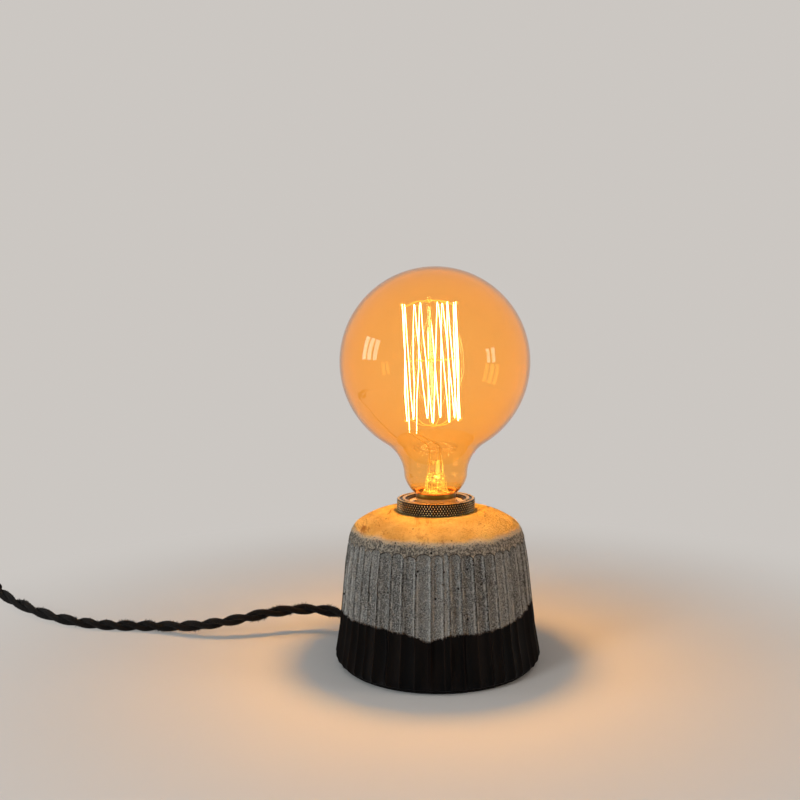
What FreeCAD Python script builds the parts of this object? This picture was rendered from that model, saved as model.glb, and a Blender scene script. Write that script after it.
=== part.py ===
import FreeCAD, Part
import math
import os

# Table lamp with a hand-carved stoneware base, a screw lampholder held by a knurled ring,
# a large round lamp bulb and a twisted cord with a rocker switch and a two-pin plug.
# Millimetres. The lamp stands on z = 0 and its axis is the Z axis.

# Overall sizes of the stoneware base
base_radius = 68.3
seat_height = 100.3
belly_height = 6.5
lower_taper = 3.0
lower_radius = base_radius - lower_taper
lower_height = 24.0
waist_taper = 5.4
waist_radius = base_radius - waist_taper
waist_height = 47.0
upper_taper = 7.3
upper_radius = base_radius - upper_taper
upper_drop = 34.3
upper_height = seat_height - upper_drop
shoulder_taper = 10.5
shoulder_radius = base_radius - shoulder_taper
shoulder_drop = 15.8
shoulder_height = seat_height - shoulder_drop
crown_taper = 18.7
crown_radius = base_radius - crown_taper
crown_drop = 5.7
crown_height = seat_height - crown_drop
crown_bow = 1.9
shoulder_bow = 2.0
seat_radius = 27.2
foot_taper = 2.3
foot_radius = base_radius - foot_taper
foot_bow = 0.8
wall_thickness = 6.5
dome_thickness = 7.5
ceiling_radius = 28.0
cavity_shoulder_bow = 2.0

# Carved flutes
flute_count = 49
flute_depth = 1.1
flute_wander_share = 0.2
flute_depth_wander_share = 0.25
wander_step = 2.4
depth_wander_step = 3.7

# Felt pad
pad_inset = 1.5
pad_radius = foot_radius - pad_inset
pad_thickness = 2.4

# Twisted cord, taken as its round outside
cord_radius = 3.7
cord_clearance = 0.3
floor_clearance = 0.1
exit_turn = 143.5
exit_height = 14.5
arc_share = 0.45
inner_reach_shares = (1, 0.792, 0.55, 0.337, 0.158, 0.038)
inner_heights = (exit_height, exit_height, 8.8, 7.6, 12.0, 21.8)
grip_run_in = 1.4

# Grommet in the cord hole
grommet_wall = 2.0
grommet_flange = 3.2
flange_thickness = 1.5
grommet_inset = 0.1
grommet_overlap = 4.5
hole_clearance = 0.2

# Shade ring and the holder's threaded sleeve
ring_radius = 25.95
ring_height = 8.4
ring_chamfer = 0.9
ring_groove_width = 1.6
ring_groove_depth = 0.7
ring_lip = 2.2
sleeve_radius = 20.0
sleeve_wall = 1.6
sleeve_height = 42.0
sleeve_drop = 0.8
sleeve_chamfer = 0.6
thread_clearance = 0.1
seat_clearance = 0.6
clamp_radius = 25.0
clamp_height = 6.0

# Holder cap, porcelain insert and contacts
cap_radius = 22.2
cap_wall = 2.0
cap_overlap = 9.0
cap_drop = 13.0
cap_neck_radius = 8.2
cap_neck_height = 7.0
cap_throat_chamfer = 1.2
insert_radius = 17.9
insert_flange = 5.0
insert_body_radius = 16.4
insert_bore_clearance = 0.3
insert_rim_drop = 2.9
shell_bore_radius = 13.4
shell_thickness = 0.4
shell_floor_hole = 8.0
terminal_size = 6.0
terminal_spread = 5.5
terminal_screw_radius = 1.5
terminal_head_radius = 2.6
terminal_head_height = 1.8
spring_width = 5.0
spring_thickness = 0.5
spring_gap = 0.1

# Cord grip under the holder
grip_radius = 8.0
grip_length = 10.0
grip_thread_radius = 5.0
grip_thread_length = 6.0
grip_screw_radius = 1.4
grip_screw_length = 5.0
core_radius = 1.1
core_straight = 3.1

# Lamp bulb, its heights counted from the joint of glass and cap
joint_radius = 14.2
joint_rise = 12.3
joint_height = seat_height + joint_rise
globe_radius = 62.5
globe_rise = 86.0
globe_height = joint_height + globe_rise
glass_thickness = 0.9
neck_radius = 20.8
neck_rise = 10.9
neck_height = joint_height + neck_rise
neck_bow = 1.1
collar_radius = 13.3
collar_height = 6.2
screw_radius = 13.05
screw_length = 14.6
cap_sheet = 0.4
glass_seat_clearance = 0.3
insulator_height = 4.4
insulator_radius = 12.3
insulator_tip_radius = 6.2
tip_radius = 4.8
tip_height = 1.7
screw_bore_clearance = 0.25

# Glass stem and filament cage inside the bulb
stem_lean = 1.7
flare_height = 3.0
stem_radius = 7.2
stem_wall = 0.9
press_rise = 10.9
press_height = joint_height + press_rise
press_width = 10.5
press_depth = 4.2
press_top_rise = 21.4
press_top = joint_height + press_top_rise
button_radius = 2.3
button_height = 3.2
cage_radius = 17.6
cage_top_rise = 124.7
cage_top = joint_height + cage_top_rise
rod_radius = 1.2
rod_tip = 3.7
rod_top = cage_top + rod_tip
cage_bottom_rise = 47.4
cage_bottom = joint_height + cage_bottom_rise
cage_middle_rise = 87.3
cage_middle = joint_height + cage_middle_rise
leg_foot_rise = 40.9
leg_foot = joint_height + leg_foot_rise
top_hooks = 10
middle_hooks = 5
first_leg_turn = 204.0
last_leg_turn = 232.0
hook_wire_radius = 0.25
filament_radius = 0.35
lead_wire_radius = 0.4
lead_wire_spread = 3.4
wire_sides = 6

# Rocker switch on the cord
switch_x = -414.0
switch_y = 166.0
switch_length = 64.0
switch_width = 26.0
switch_height = 20.4
switch_split = 10.0
switch_corner = 9.0
switch_wall = 1.8
switch_edge = 1.2
cord_entry = 12.0
plug_cord_entry = 9.0
rocker_length = 18.8
rocker_width = 10.4
rocker_rise = 4.9
rocker_dip = 1.4
rocker_drop = 1.2
rocker_keel = 3.6
rocker_gap = 0.4
rocker_end_gap = 1.2
rocker_tilt = 9.0
pivot_height = 16.0
pivot_radius = 1.0
pivot_clearance = 0.08
lug_thickness = 2.2
lug_length = 5.0
lug_gap = 0.25
contact_width = 4.0
contact_thickness = 0.6
contact_height = 8.0
switch_screw_radius = 1.4
switch_screw_head = 2.6
switch_screw_spread = 24.0
switch_post_radius = 3.2

# Put-away coil and its tie
coil_x = -430.0
coil_y = 97.0
coil_radius = 49.5
coil_gap = 0.5
turns_in = 2.5
turns_out = 2.5
tie_thickness = 0.8
tie_width = 8.0
tie_clearance = 0.3
tie_corner = 3.0

# Two-pin plug
plug_width = 35.3
plug_thickness = 13.7
plug_length = 36.0
plug_shoulder = 15.0
plug_back_width = 15.0
plug_edge = 1.6
plug_gap = 0.05
pin_radius = 2.0
pin_length = 19.0
pin_inside = 11.0
pin_spread = 9.3
pin_tip = 0.8
plug_screw_radius = 1.4
plug_screw_head = 2.7
plug_screw_place = 16.0

# One overrun serves all cuts
overrun = 2.0

origin = FreeCAD.Vector(0, 0, 0)
upwards = FreeCAD.Vector(0, 0, 1)
across = FreeCAD.Vector(0, 1, 0)
along = FreeCAD.Vector(1, 0, 0)


def vec(x, y, z):
    return FreeCAD.Vector(x, y, z)


def around(radius, degrees, height):
    turn = math.radians(degrees)
    return vec(radius * math.cos(turn), radius * math.sin(turn), height)


# A closed outline in the half-plane of radius and height. A third number bows that side out to its right.
def outline(*points):
    edges = []
    for start, end in zip(points, points[1:] + points[:1]):
        a = vec(start[0], 0, start[1])
        b = vec(end[0], 0, end[1])
        if len(end) > 2:
            run = b - a
            side = vec(run.z, 0, -run.x).normalize()
            edges.append(Part.Arc(a, (a + b) * 0.5 + side * end[2], b).toShape())
        else:
            edges.append(Part.makeLine(a, b))
    return Part.Face(Part.Wire(edges))


def turned(*points):
    return outline(*points).revolve(origin, upwards, 360)


# A fine wire, drawn six-sided
def fine_wire(start, end, radius):
    run = end - start
    side = run.cross(across).normalize() * radius
    turn = FreeCAD.Rotation(run, 360 / wire_sides)
    corners = [side]
    for i in range(wire_sides - 1):
        corners.append(turn.multVec(corners[-1]))
    corners = [start + corner for corner in corners]
    return Part.Face(Part.makePolygon(corners + corners[:1])).extrude(run)


def joined(shapes):
    return shapes[0].fuse(list(shapes[1:])).removeSplitter()


# A block with rounded upright corners, centred on x and y
def rounded_block(length, width, bottom, top, corner):
    block = Part.makeBox(length, width, top - bottom, vec(-length / 2, -width / 2, bottom))
    upright = [edge for edge in block.Edges if abs(edge.tangentAt(edge.FirstParameter).z) > 0.5]
    return block.makeFillet(corner, upright)


def save(shape, name):
    shape.exportStep("parts/" + name + ".step")
    print(name, "volume", round(shape.Volume), "solids", len(shape.Solids), "valid", shape.isValid())


# Carved stoneware base

def flute_turns():
    pitch = 2 * math.pi / flute_count
    return [pitch * (i + flute_wander_share * math.sin(wander_step * i)) for i in range(flute_count)]


def fluted_section(radius, height):
    turns = flute_turns()
    turns.append(turns[0] + 2 * math.pi)
    pitch = 2 * math.pi / flute_count
    edges = []
    for i in range(flute_count):
        a, b = turns[i], turns[i + 1]
        middle = (a + b) / 2
        uneven = 1 + flute_depth_wander_share * math.sin(depth_wander_step * i)
        hollow = radius - flute_depth * uneven * (b - a) / pitch
        ends = [vec(radius * math.cos(t), radius * math.sin(t), height) for t in (a, b)]
        deep = vec(hollow * math.cos(middle), hollow * math.sin(middle), height)
        edges.append(Part.Arc(ends[0], deep, ends[1]).toShape())
    return Part.Wire(edges)


def cavity():
    inner_foot = base_radius - wall_thickness
    inner_lower = lower_radius - wall_thickness
    inner_waist = waist_radius - wall_thickness
    inner_shoulder = shoulder_radius - wall_thickness
    ceiling = seat_height - dome_thickness
    return turned(
        (0, -overrun),
        (inner_foot, -overrun),
        (inner_foot, belly_height),
        (inner_lower, lower_height),
        (inner_waist, waist_height),
        (inner_shoulder, shoulder_height - overrun),
        (crown_radius - wall_thickness, ceiling - overrun, cavity_shoulder_bow),
        (ceiling_radius, ceiling),
        (0, ceiling),
    )


def ceramic_base():
    rise = (shoulder_radius - upper_radius) / (shoulder_height - upper_height)
    top_height = seat_height + overrun
    top_radius = shoulder_radius + rise * (top_height - shoulder_height)
    sections = [
        fluted_section(foot_radius + foot_bow, pad_thickness - overrun),
        fluted_section(base_radius, belly_height),
        fluted_section(lower_radius, lower_height),
        fluted_section(waist_radius, waist_height),
        fluted_section(upper_radius, upper_height),
        fluted_section(shoulder_radius, shoulder_height),
        fluted_section(top_radius, top_height),
    ]
    column = Part.makeLoft(sections, True, False)
    clear = base_radius + overrun
    shoulder_edge = shoulder_radius + flute_depth + foot_bow
    envelope = turned(
        (0, pad_thickness),
        (foot_radius, pad_thickness),
        (base_radius + flute_depth, belly_height, foot_bow),
        (clear, belly_height + overrun),
        (clear, waist_height),
        (shoulder_edge, shoulder_height - 2 * overrun),
        (crown_radius, crown_height, shoulder_bow),
        (seat_radius, seat_height, crown_bow),
        (0, seat_height),
    )
    body = column.common(envelope)
    holder_hole = Part.makeCylinder(sleeve_radius + seat_clearance, seat_height + overrun)
    bore = grommet_radius() + hole_clearance
    inside = around(grommet_inner() - wall_thickness, exit_turn, exit_height)
    cord_hole = Part.makeCylinder(bore, base_radius, inside, exit_direction())
    recess_floor = around(grommet_outer() - flange_thickness - hole_clearance, exit_turn, exit_height)
    recess = Part.makeCylinder(flange_radius() + hole_clearance, base_radius, recess_floor, exit_direction())
    return body.cut([cavity(), holder_hole, cord_hole, recess]).Solids[0]


def base_pad():
    return Part.makeCylinder(pad_radius, pad_thickness)


# Cord exit

def exit_direction():
    return around(1, exit_turn, 0)


def grommet_outer():
    return base_radius - grommet_inset


def grommet_inner():
    return base_radius - wall_thickness - grommet_overlap


def grommet_radius():
    return cord_radius + cord_clearance + grommet_wall


def flange_radius():
    return cord_radius + cord_clearance + grommet_flange


def cord_grommet():
    inner = grommet_inner()
    outer = grommet_outer()
    flange = flange_radius()
    shape = turned(
        (cord_radius + cord_clearance, inner),
        (flange, inner),
        (flange, inner + flange_thickness),
        (grommet_radius(), inner + flange_thickness),
        (grommet_radius(), outer - flange_thickness),
        (flange, outer - flange_thickness),
        (flange, outer),
        (cord_radius + cord_clearance, outer),
    )
    shape.rotate(origin, across, 90)
    shape.rotate(origin, upwards, exit_turn)
    shape.translate(vec(0, 0, exit_height))
    return shape


# Cord routes, as straight runs joined by arcs

def cord_tube(route, name, radius=cord_radius):
    points = [vec(*point) for point in route]
    edges = []
    here = points[0]
    radii = []
    for before, corner, after in zip(points, points[1:], points[2:]):
        back = before - corner
        ahead = after - corner
        reach = arc_share * min(back.Length, ahead.Length)
        half_turn = (math.pi - back.getAngle(ahead)) / 2
        radii.append(round(reach / math.tan(half_turn), 1))
        back.normalize()
        ahead.normalize()
        inside = (back + ahead).normalize()
        bend = reach / math.tan(half_turn)
        middle = corner + inside * (bend / math.cos(half_turn) - bend)
        edges.append(Part.makeLine(here, corner + back * reach))
        edges.append(Part.Arc(corner + back * reach, middle, corner + ahead * reach).toShape())
        here = corner + ahead * reach
    edges.append(Part.makeLine(here, points[-1]))
    return swept(edges, radius, name, radii)


def swept(edges, radius, name, radii):
    path = Part.Wire(edges)
    first = path.Edges[0]
    start = first.valueAt(first.FirstParameter)
    heading = first.tangentAt(first.FirstParameter)
    ring = Part.Wire([Part.Circle(start, heading, radius).toShape()])
    tube = path.makePipeShell([ring], True, False)
    expected = math.pi * radius ** 2 * path.Length
    print(name, "length", round(path.Length, 1), "least radius", min(radii), "radii", radii)
    print(name, "volume over section by length", round(tube.Volume / expected, 4))
    return tube


def exit_point(reach, height):
    return tuple(around(reach, exit_turn, height))


# Inside the base: in through the grommet and up the axis to the cord grip
def inner_route():
    outer = grommet_outer()
    lay = zip(inner_reach_shares, inner_heights)
    route = [exit_point(outer * share, height) for share, height in lay]
    return route + [
        (0, 0, grip_bottom() - grip_run_in),
        (0, 0, grip_bottom() + grip_length),
    ]


def lead_route():
    return [
        exit_point(grommet_outer(), exit_height),
        (-66.8, 49.4, 14.9),
        (-88.0, 50.5, 18.8),
        (-116.0, 42.0, 19.4),
        (-146.0, 39.6, 13.6),
        (-176.0, 47.5, 7.4),
        (-208.0, 60.0, 4.0),
        (-243.0, 62.6, 3.8),
        (-278.0, 76.0, 3.8),
        (-313.0, 102.0, 3.8),
        (-345.0, 132.0, 4.2),
        (-359.0, 148.0, 5.8),
        (-371.0, 160.5, 8.4),
        (-383.0, switch_y, switch_split),
        (switch_x + switch_length / 2 - cord_entry, switch_y, switch_split),
    ]


def coil_level():
    return cord_radius + tie_thickness + floor_clearance


def link_route():
    left = coil_x - coil_radius
    return [
        (switch_x - switch_length / 2 + cord_entry, switch_y, switch_split),
        (-447.0, switch_y, 9.8),
        (-461.0, 162.5, 8.2),
        (-472.5, 151.0, 6.2),
        (-477.5, 136.0, 5.2),
        (left + 0.1, 120.5, 4.7),
        (left, coil_y + 2 * cord_radius, coil_level()),
    ]


# Put-away coil: turns in on the table, out on top of themselves

def coil_place(turn):
    pitch = 2 * cord_radius + coil_gap
    reverse = turns_in
    if turn < reverse:
        radius = coil_radius - pitch * turn
    else:
        radius = coil_radius - pitch * reverse + pitch * (turn - reverse)
    climb = min(max(turn - reverse + 0.25, 0), 0.5) * 2
    smooth = climb * climb * (3 - 2 * climb)
    angle = math.pi + 2 * math.pi * turn
    height = coil_level() + pitch * smooth
    return vec(coil_x + radius * math.cos(angle), coil_y + radius * math.sin(angle), height)


def biarc(start, out, end, onward):
    run = end - start
    both = out + onward
    dot = run.dot(both)
    spare = 2 * (1 - out.dot(onward))
    reach = (math.sqrt(dot * dot + spare * run.dot(run)) - dot) / spare
    meet = (start + out * reach + end - onward * reach) * 0.5
    arcs = []
    radii = []
    for near, heading, far in ((start, out, meet), (end, onward * -1, meet)):
        chord = far - near
        side = chord - heading * chord.dot(heading)
        radius = chord.dot(chord) / (2 * side.Length)
        centre = near + side.normalize() * radius
        middle = (near + far) * 0.5 - centre
        middle = centre + middle.normalize() * radius
        radii.append(round(radius, 1))
        arcs.append(Part.Arc(near, middle, far) if near == start else Part.Arc(far, middle, near))
    return [arc.toShape() for arc in arcs], radii


def coil_heading(turn):
    step = 0.001
    heading = coil_place(min(turn + step, turns_in + turns_out)) - coil_place(max(turn - step, 0))
    if turn in (0, turns_in + turns_out):
        angle = math.pi + 2 * math.pi * turn
        heading = vec(-math.sin(angle), math.cos(angle), 0)
    return heading.normalize()


def cord_coil():
    quarters = int(round(4 * (turns_in + turns_out)))
    edges = []
    radii = []
    places = [coil_place(i / 4) for i in range(quarters + 1)]
    headings = [coil_heading(i / 4) for i in range(quarters + 1)]
    straight = 2 * cord_radius
    start = places[0] - headings[0] * straight
    end = places[-1] + headings[-1] * straight
    edges.append(Part.makeLine(start, places[0]))
    for i in range(quarters):
        arcs, bends = biarc(places[i], headings[i], places[i + 1], headings[i + 1])
        edges += arcs
        radii += bends
    edges.append(Part.makeLine(places[-1], end))
    print("coil least gap to itself", round(coil_self_gap(edges), 2))
    return swept(edges, cord_radius, "cord_coil", radii)


def coil_end():
    last = turns_in + turns_out
    return coil_place(last) + coil_heading(last) * 2 * cord_radius


def coil_self_gap(edges):
    points = []
    travelled = 0
    samples = 12
    for edge in edges:
        for i in range(samples):
            share = i / samples
            at = edge.FirstParameter + share * (edge.LastParameter - edge.FirstParameter)
            points.append((travelled + share * edge.Length, edge.valueAt(at)))
        travelled += edge.Length
    least = coil_radius
    for i, (along_a, a) in enumerate(points):
        for along_b, b in points[i + 1:]:
            if along_b - along_a > coil_radius:
                least = min(least, (b - a).Length - 2 * cord_radius)
    return least


def tail_route(start):
    left = coil_x - coil_radius
    back = plug_back()
    return [
        tuple(start),
        (left, start.y - 16.0, start.z - 0.6),
        (left + 0.8, back + 22.0, 9.0),
        (left, back + 4.0, plug_thickness / 2),
        (left, back - plug_cord_entry, plug_thickness / 2),
    ]


def coil_tie():
    pitch = 2 * cord_radius + coil_gap
    inner_turn = coil_radius - pitch * (turns_in - 0.25)
    outer_turn = coil_radius - pitch * 0.25
    low = coil_y - outer_turn - cord_radius - tie_clearance
    high = coil_y - inner_turn + cord_radius + tie_clearance
    bottom = floor_clearance + tie_thickness - floor_clearance / 2
    top = coil_level() + pitch + cord_radius + tie_clearance
    middle_y = (low + high) / 2
    middle_z = (bottom + top) / 2

    def band(grow):
        tall = top - bottom + 2 * grow
        wide = high - low + 2 * grow
        block = rounded_block(tall, wide, 0, tie_width, tie_corner + grow)
        block.rotate(origin, across, 90)
        block.translate(vec(coil_x - tie_width / 2, middle_y, middle_z))
        return block

    return band(tie_thickness).cut(band(0))


# Shade ring and holder

def shade_ring():
    bore = sleeve_radius + thread_clearance
    top = seat_height + ring_height
    lip = bore + ring_lip
    return turned(
        (bore, seat_height),
        (ring_radius - ring_chamfer, seat_height),
        (ring_radius, seat_height + ring_chamfer),
        (ring_radius, top - ring_chamfer),
        (ring_radius - ring_chamfer, top),
        (lip + ring_groove_width, top),
        (lip + ring_groove_width, top - ring_groove_depth),
        (lip, top - ring_groove_depth),
        (lip, top),
        (bore, top),
    )


def sleeve_top():
    return seat_height + ring_height - sleeve_drop


def sleeve_bottom():
    return sleeve_top() - sleeve_height


def holder_sleeve():
    bore = sleeve_radius - sleeve_wall
    return turned(
        (bore, sleeve_bottom()),
        (sleeve_radius, sleeve_bottom()),
        (sleeve_radius, sleeve_top() - sleeve_chamfer),
        (sleeve_radius - sleeve_chamfer, sleeve_top()),
        (bore + sleeve_chamfer, sleeve_top()),
        (bore, sleeve_top() - sleeve_chamfer),
    )


def clamp_ring():
    ceiling = seat_height - dome_thickness
    bore = sleeve_radius + thread_clearance
    return turned(
        (bore, ceiling - clamp_height),
        (clamp_radius - ring_chamfer, ceiling - clamp_height),
        (clamp_radius, ceiling - clamp_height + ring_chamfer),
        (clamp_radius, ceiling),
        (bore, ceiling),
    )


def cap_bottom():
    return sleeve_bottom() - cap_drop


def holder_cap():
    bore = sleeve_radius + thread_clearance
    shelf_radius = insert_radius - cap_wall
    bottom = cap_bottom()
    neck_bore = grip_thread_radius + thread_clearance
    return turned(
        (neck_bore, bottom - cap_neck_height),
        (cap_neck_radius, bottom - cap_neck_height),
        (cap_neck_radius, bottom),
        (cap_radius, sleeve_bottom(), cap_wall),
        (cap_radius, sleeve_bottom() + cap_overlap),
        (bore, sleeve_bottom() + cap_overlap),
        (bore, sleeve_bottom()),
        (shelf_radius, sleeve_bottom()),
        (shelf_radius, sleeve_bottom() - cap_wall),
        (cap_neck_radius, bottom + cap_wall, -cap_wall),
        (neck_bore + cap_throat_chamfer, bottom + cap_wall),
        (neck_bore, bottom + cap_wall - cap_throat_chamfer),
    )


def shell_floor():
    return tip_bottom() - spring_gap - spring_thickness - shell_thickness


def holder_insert():
    bottom = sleeve_bottom()
    floor_height = shell_floor()
    rim = sleeve_top() - insert_rim_drop
    bore = shell_bore_radius + shell_thickness + insert_bore_clearance
    body = turned(
        (0, bottom),
        (insert_radius, bottom),
        (insert_radius, bottom + insert_flange),
        (insert_body_radius, bottom + insert_flange),
        (insert_body_radius, rim),
        (bore, rim),
        (bore, floor_height),
        (0, floor_height),
    )
    wells = [
        Part.makeCylinder(
            core_radius + cord_clearance,
            floor_height - bottom,
            vec(side * terminal_spread, 0, bottom - overrun),
        )
        for side in (-1, 1)
    ]
    return body.cut(wells)


def screw_shell():
    floor_height = shell_floor()
    outer = shell_bore_radius + shell_thickness
    rim = sleeve_top() - insert_rim_drop - shell_thickness
    return turned(
        (shell_floor_hole, floor_height),
        (outer, floor_height),
        (outer, rim),
        (shell_bore_radius, rim),
        (shell_bore_radius, floor_height + shell_thickness),
        (shell_floor_hole, floor_height + shell_thickness),
    )


def tip_spring():
    top = tip_bottom() - spring_gap
    low = shell_floor()
    foot = shell_floor_hole - shell_thickness
    strip = outline(
        (-foot, low),
        (-tip_radius, low),
        (tip_radius, top - spring_thickness),
        (tip_radius, top),
        (-tip_radius, top),
        (-foot, low + spring_thickness),
    )
    strip = strip.extrude(across * spring_width)
    strip.translate(vec(0, -spring_width / 2, 0))
    return strip


def terminal_blocks():
    top = sleeve_bottom()
    blocks = []
    for side in (-1, 1):
        corner = vec(side * terminal_spread - terminal_size / 2, -terminal_size / 2, top - terminal_size)
        block = Part.makeBox(terminal_size, terminal_size, terminal_size, corner)
        screw_hole = Part.makeCylinder(
            terminal_screw_radius,
            terminal_size / 2,
            vec(side * terminal_spread, terminal_size / 2, top - terminal_size / 2),
            across * -1,
        )
        blocks.append(block.cut(screw_hole))
    return Part.makeCompound(blocks)


def terminal_screws():
    height = sleeve_bottom() - terminal_size / 2
    screws = []
    for side in (-1, 1):
        face = vec(side * terminal_spread, terminal_size / 2, height)
        shank = Part.makeCylinder(terminal_screw_radius, terminal_size / 2, face, across * -1)
        head = Part.makeCylinder(terminal_head_radius, terminal_head_height, face, across)
        screws.append(joined([shank, head]))
    return Part.makeCompound(screws)


def grip_bottom():
    return cap_bottom() - cap_neck_height - grip_length


def cord_grip():
    bottom = grip_bottom()
    bore = cord_radius + cord_clearance
    top = bottom + grip_length
    body = turned(
        (bore, bottom),
        (grip_radius - ring_chamfer, bottom),
        (grip_radius, bottom + ring_chamfer),
        (grip_radius, top),
        (grip_thread_radius, top),
        (grip_thread_radius, top + grip_thread_length),
        (bore, top + grip_thread_length),
    )
    start = vec(bore / 2, 0, bottom + grip_length / 2)
    return body.cut(Part.makeCylinder(grip_screw_radius, grip_radius, start, along))


def grip_screw():
    start = vec(grip_radius - grip_screw_length + overrun / 2, 0, grip_bottom() + grip_length / 2)
    return Part.makeCylinder(grip_screw_radius, grip_screw_length - overrun / 2, start, along)


def core_wires():
    start = grip_bottom() + grip_length
    end = sleeve_bottom() - terminal_size
    wires = []
    for side in (-1, 1):
        spread = side * (core_radius + floor_clearance)
        route = [
            (spread, 0, start),
            (spread, 0, start + grip_thread_length),
            (side * terminal_spread, 0, end - core_straight),
            (side * terminal_spread, 0, end),
        ]
        wires.append(cord_tube(route, "core", core_radius))
    return Part.makeCompound(wires)


# Lamp bulb

def neck_fillet():
    drop = globe_height - neck_height
    reach = drop ** 2 - globe_radius ** 2 + neck_radius ** 2
    return reach / (2 * (globe_radius - neck_radius))


# The glass outline from the crown down to the joint, moved in by a wall thickness
def glass_edges(inset):
    radius = globe_radius - inset
    fillet = neck_fillet() + inset
    centre = vec(0, 0, globe_height)
    fillet_centre = vec(neck_radius + neck_fillet(), 0, neck_height)
    to_fillet = (fillet_centre - centre).normalize()
    crown = centre + upwards * radius
    tangent = centre + to_fillet * radius
    side = centre + (to_fillet + upwards).normalize() * radius
    neck = vec(neck_radius - inset, 0, neck_height)
    inward = (tangent - fillet_centre).normalize() + vec(-1, 0, 0)
    hollow = fillet_centre + inward.normalize() * fillet
    joint = vec(joint_radius - inset, 0, joint_height + inset)
    slope = joint - neck
    bulge = (neck + joint) * 0.5 + vec(-slope.z, 0, slope.x).normalize() * neck_bow
    return [
        Part.Arc(crown, side, tangent).toShape(),
        Part.Arc(tangent, hollow, neck).toShape(),
        Part.Arc(neck, bulge, joint).toShape(),
    ]


def glass_foot():
    return joint_height - collar_height / 2


def glass_foot_radius():
    return collar_radius - cap_sheet - glass_seat_clearance


def bulb_globe():
    outer = glass_edges(0)
    inner = glass_edges(glass_thickness)
    foot_outer = glass_foot_radius()
    foot_inner = foot_outer - glass_thickness
    shelf = vec(foot_outer, 0, joint_height)
    crown = vec(0, 0, globe_height + globe_radius)
    edges = outer + [
        Part.makeLine(outer[-1].Vertexes[-1].Point, shelf),
        Part.makeLine(shelf, vec(foot_outer, 0, glass_foot())),
        Part.makeLine(vec(foot_outer, 0, glass_foot()), vec(foot_inner, 0, glass_foot())),
        Part.makeLine(vec(foot_inner, 0, glass_foot()), inner[-1].Vertexes[-1].Point),
        Part.makeLine(crown, crown - upwards * glass_thickness),
    ]
    face = Part.Face(Part.Wire(Part.__sortEdges__(edges + inner)))
    return face.revolve(origin, upwards, 360)


def screw_bottom():
    return joint_height - collar_height - screw_length


def tip_bottom():
    return screw_bottom() - insulator_height - tip_height


def bulb_cap():
    collar_foot = joint_height - collar_height
    bottom = screw_bottom()
    return turned(
        (collar_radius - cap_sheet, joint_height),
        (collar_radius - cap_sheet, collar_foot),
        (screw_radius - cap_sheet, collar_foot - cap_sheet),
        (screw_radius - cap_sheet, bottom),
        (screw_radius, bottom),
        (screw_radius, collar_foot - cap_sheet),
        (collar_radius, collar_foot),
        (collar_radius, joint_height),
    )


def bulb_insulator():
    bottom = screw_bottom()
    inside = screw_radius - cap_sheet - screw_bore_clearance
    return turned(
        (0, bottom - insulator_height),
        (insulator_tip_radius, bottom - insulator_height),
        (insulator_radius, bottom, cap_sheet),
        (inside, bottom),
        (inside, bottom + cap_sheet + overrun),
        (0, bottom + cap_sheet + overrun),
    )


def bulb_tip_contact():
    top = screw_bottom() - insulator_height
    return turned(
        (0, top - tip_height),
        (tip_radius - tip_height, top - tip_height),
        (tip_radius, top),
        (0, top),
    )


def leaned(shape):
    shape.rotate(vec(0, 0, press_height), across, -stem_lean)
    return shape


def bulb_stem():
    foot = glass_foot()
    rim = glass_foot_radius() - glass_thickness - glass_seat_clearance
    tube = turned(
        (rim - stem_wall, foot),
        (rim, foot),
        (rim, foot + stem_wall),
        (stem_radius, foot + flare_height + stem_wall),
        (stem_radius, press_height),
        (0, press_height),
        (0, press_height - stem_wall),
        (stem_radius - stem_wall, press_height - stem_wall),
        (stem_radius - stem_wall, foot + flare_height),
    )
    press = rounded_block(press_width, press_depth, press_height, press_top, press_depth / 3)
    return joined([tube, press])


def bulb_rod():
    shaft = Part.makeCylinder(rod_radius, rod_top - press_top, vec(0, 0, press_top))
    buttons = [
        turned(
            (0, height - button_height / 2),
            (button_radius, height),
            (0, height + button_height / 2),
        )
        for height in (hub_heights())
    ]
    return leaned(joined([shaft] + buttons))


def hub_heights():
    return (cage_bottom - button_height, cage_middle, cage_top + button_height / 2)


def cage_turns():
    span = 360 - (last_leg_turn - first_leg_turn)
    return [first_leg_turn - span * i / (2 * top_hooks) for i in range(2 * top_hooks + 1)]


def cage_points():
    turns = cage_turns()
    points = []
    for i, turn in enumerate(turns):
        height = cage_top if i % 2 else cage_bottom
        if i in (0, 2 * top_hooks):
            height = leg_foot
        points.append(around(cage_radius, turn, height))
    return points


def bulb_filament():
    points = cage_points()
    shapes = [fine_wire(a, b, filament_radius) for a, b in zip(points, points[1:])]
    return leaned(shapes[0].fuse(shapes[1:]))


def hook_set(hub_height, ends):
    shapes = []
    for end in ends:
        outward = vec(end.x, end.y, 0).normalize()
        start = outward * (button_radius / 2) + upwards * hub_height
        tip = end - outward * (filament_radius + hook_wire_radius)
        shapes.append(fine_wire(start, tip, hook_wire_radius))
    return leaned(Part.makeCompound(shapes))


def bulb_top_hooks():
    return hook_set(hub_heights()[2], cage_points()[1::2])


def bulb_bottom_hooks():
    return hook_set(hub_heights()[0], cage_points()[2:-1:2])


def bulb_middle_hooks():
    turns = [first_leg_turn + 360 * (i + 0.5) / middle_hooks for i in range(middle_hooks)]
    ends = [around(cage_radius - filament_radius, turn, cage_middle) for turn in turns]
    return hook_set(hub_heights()[1], ends)


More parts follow.
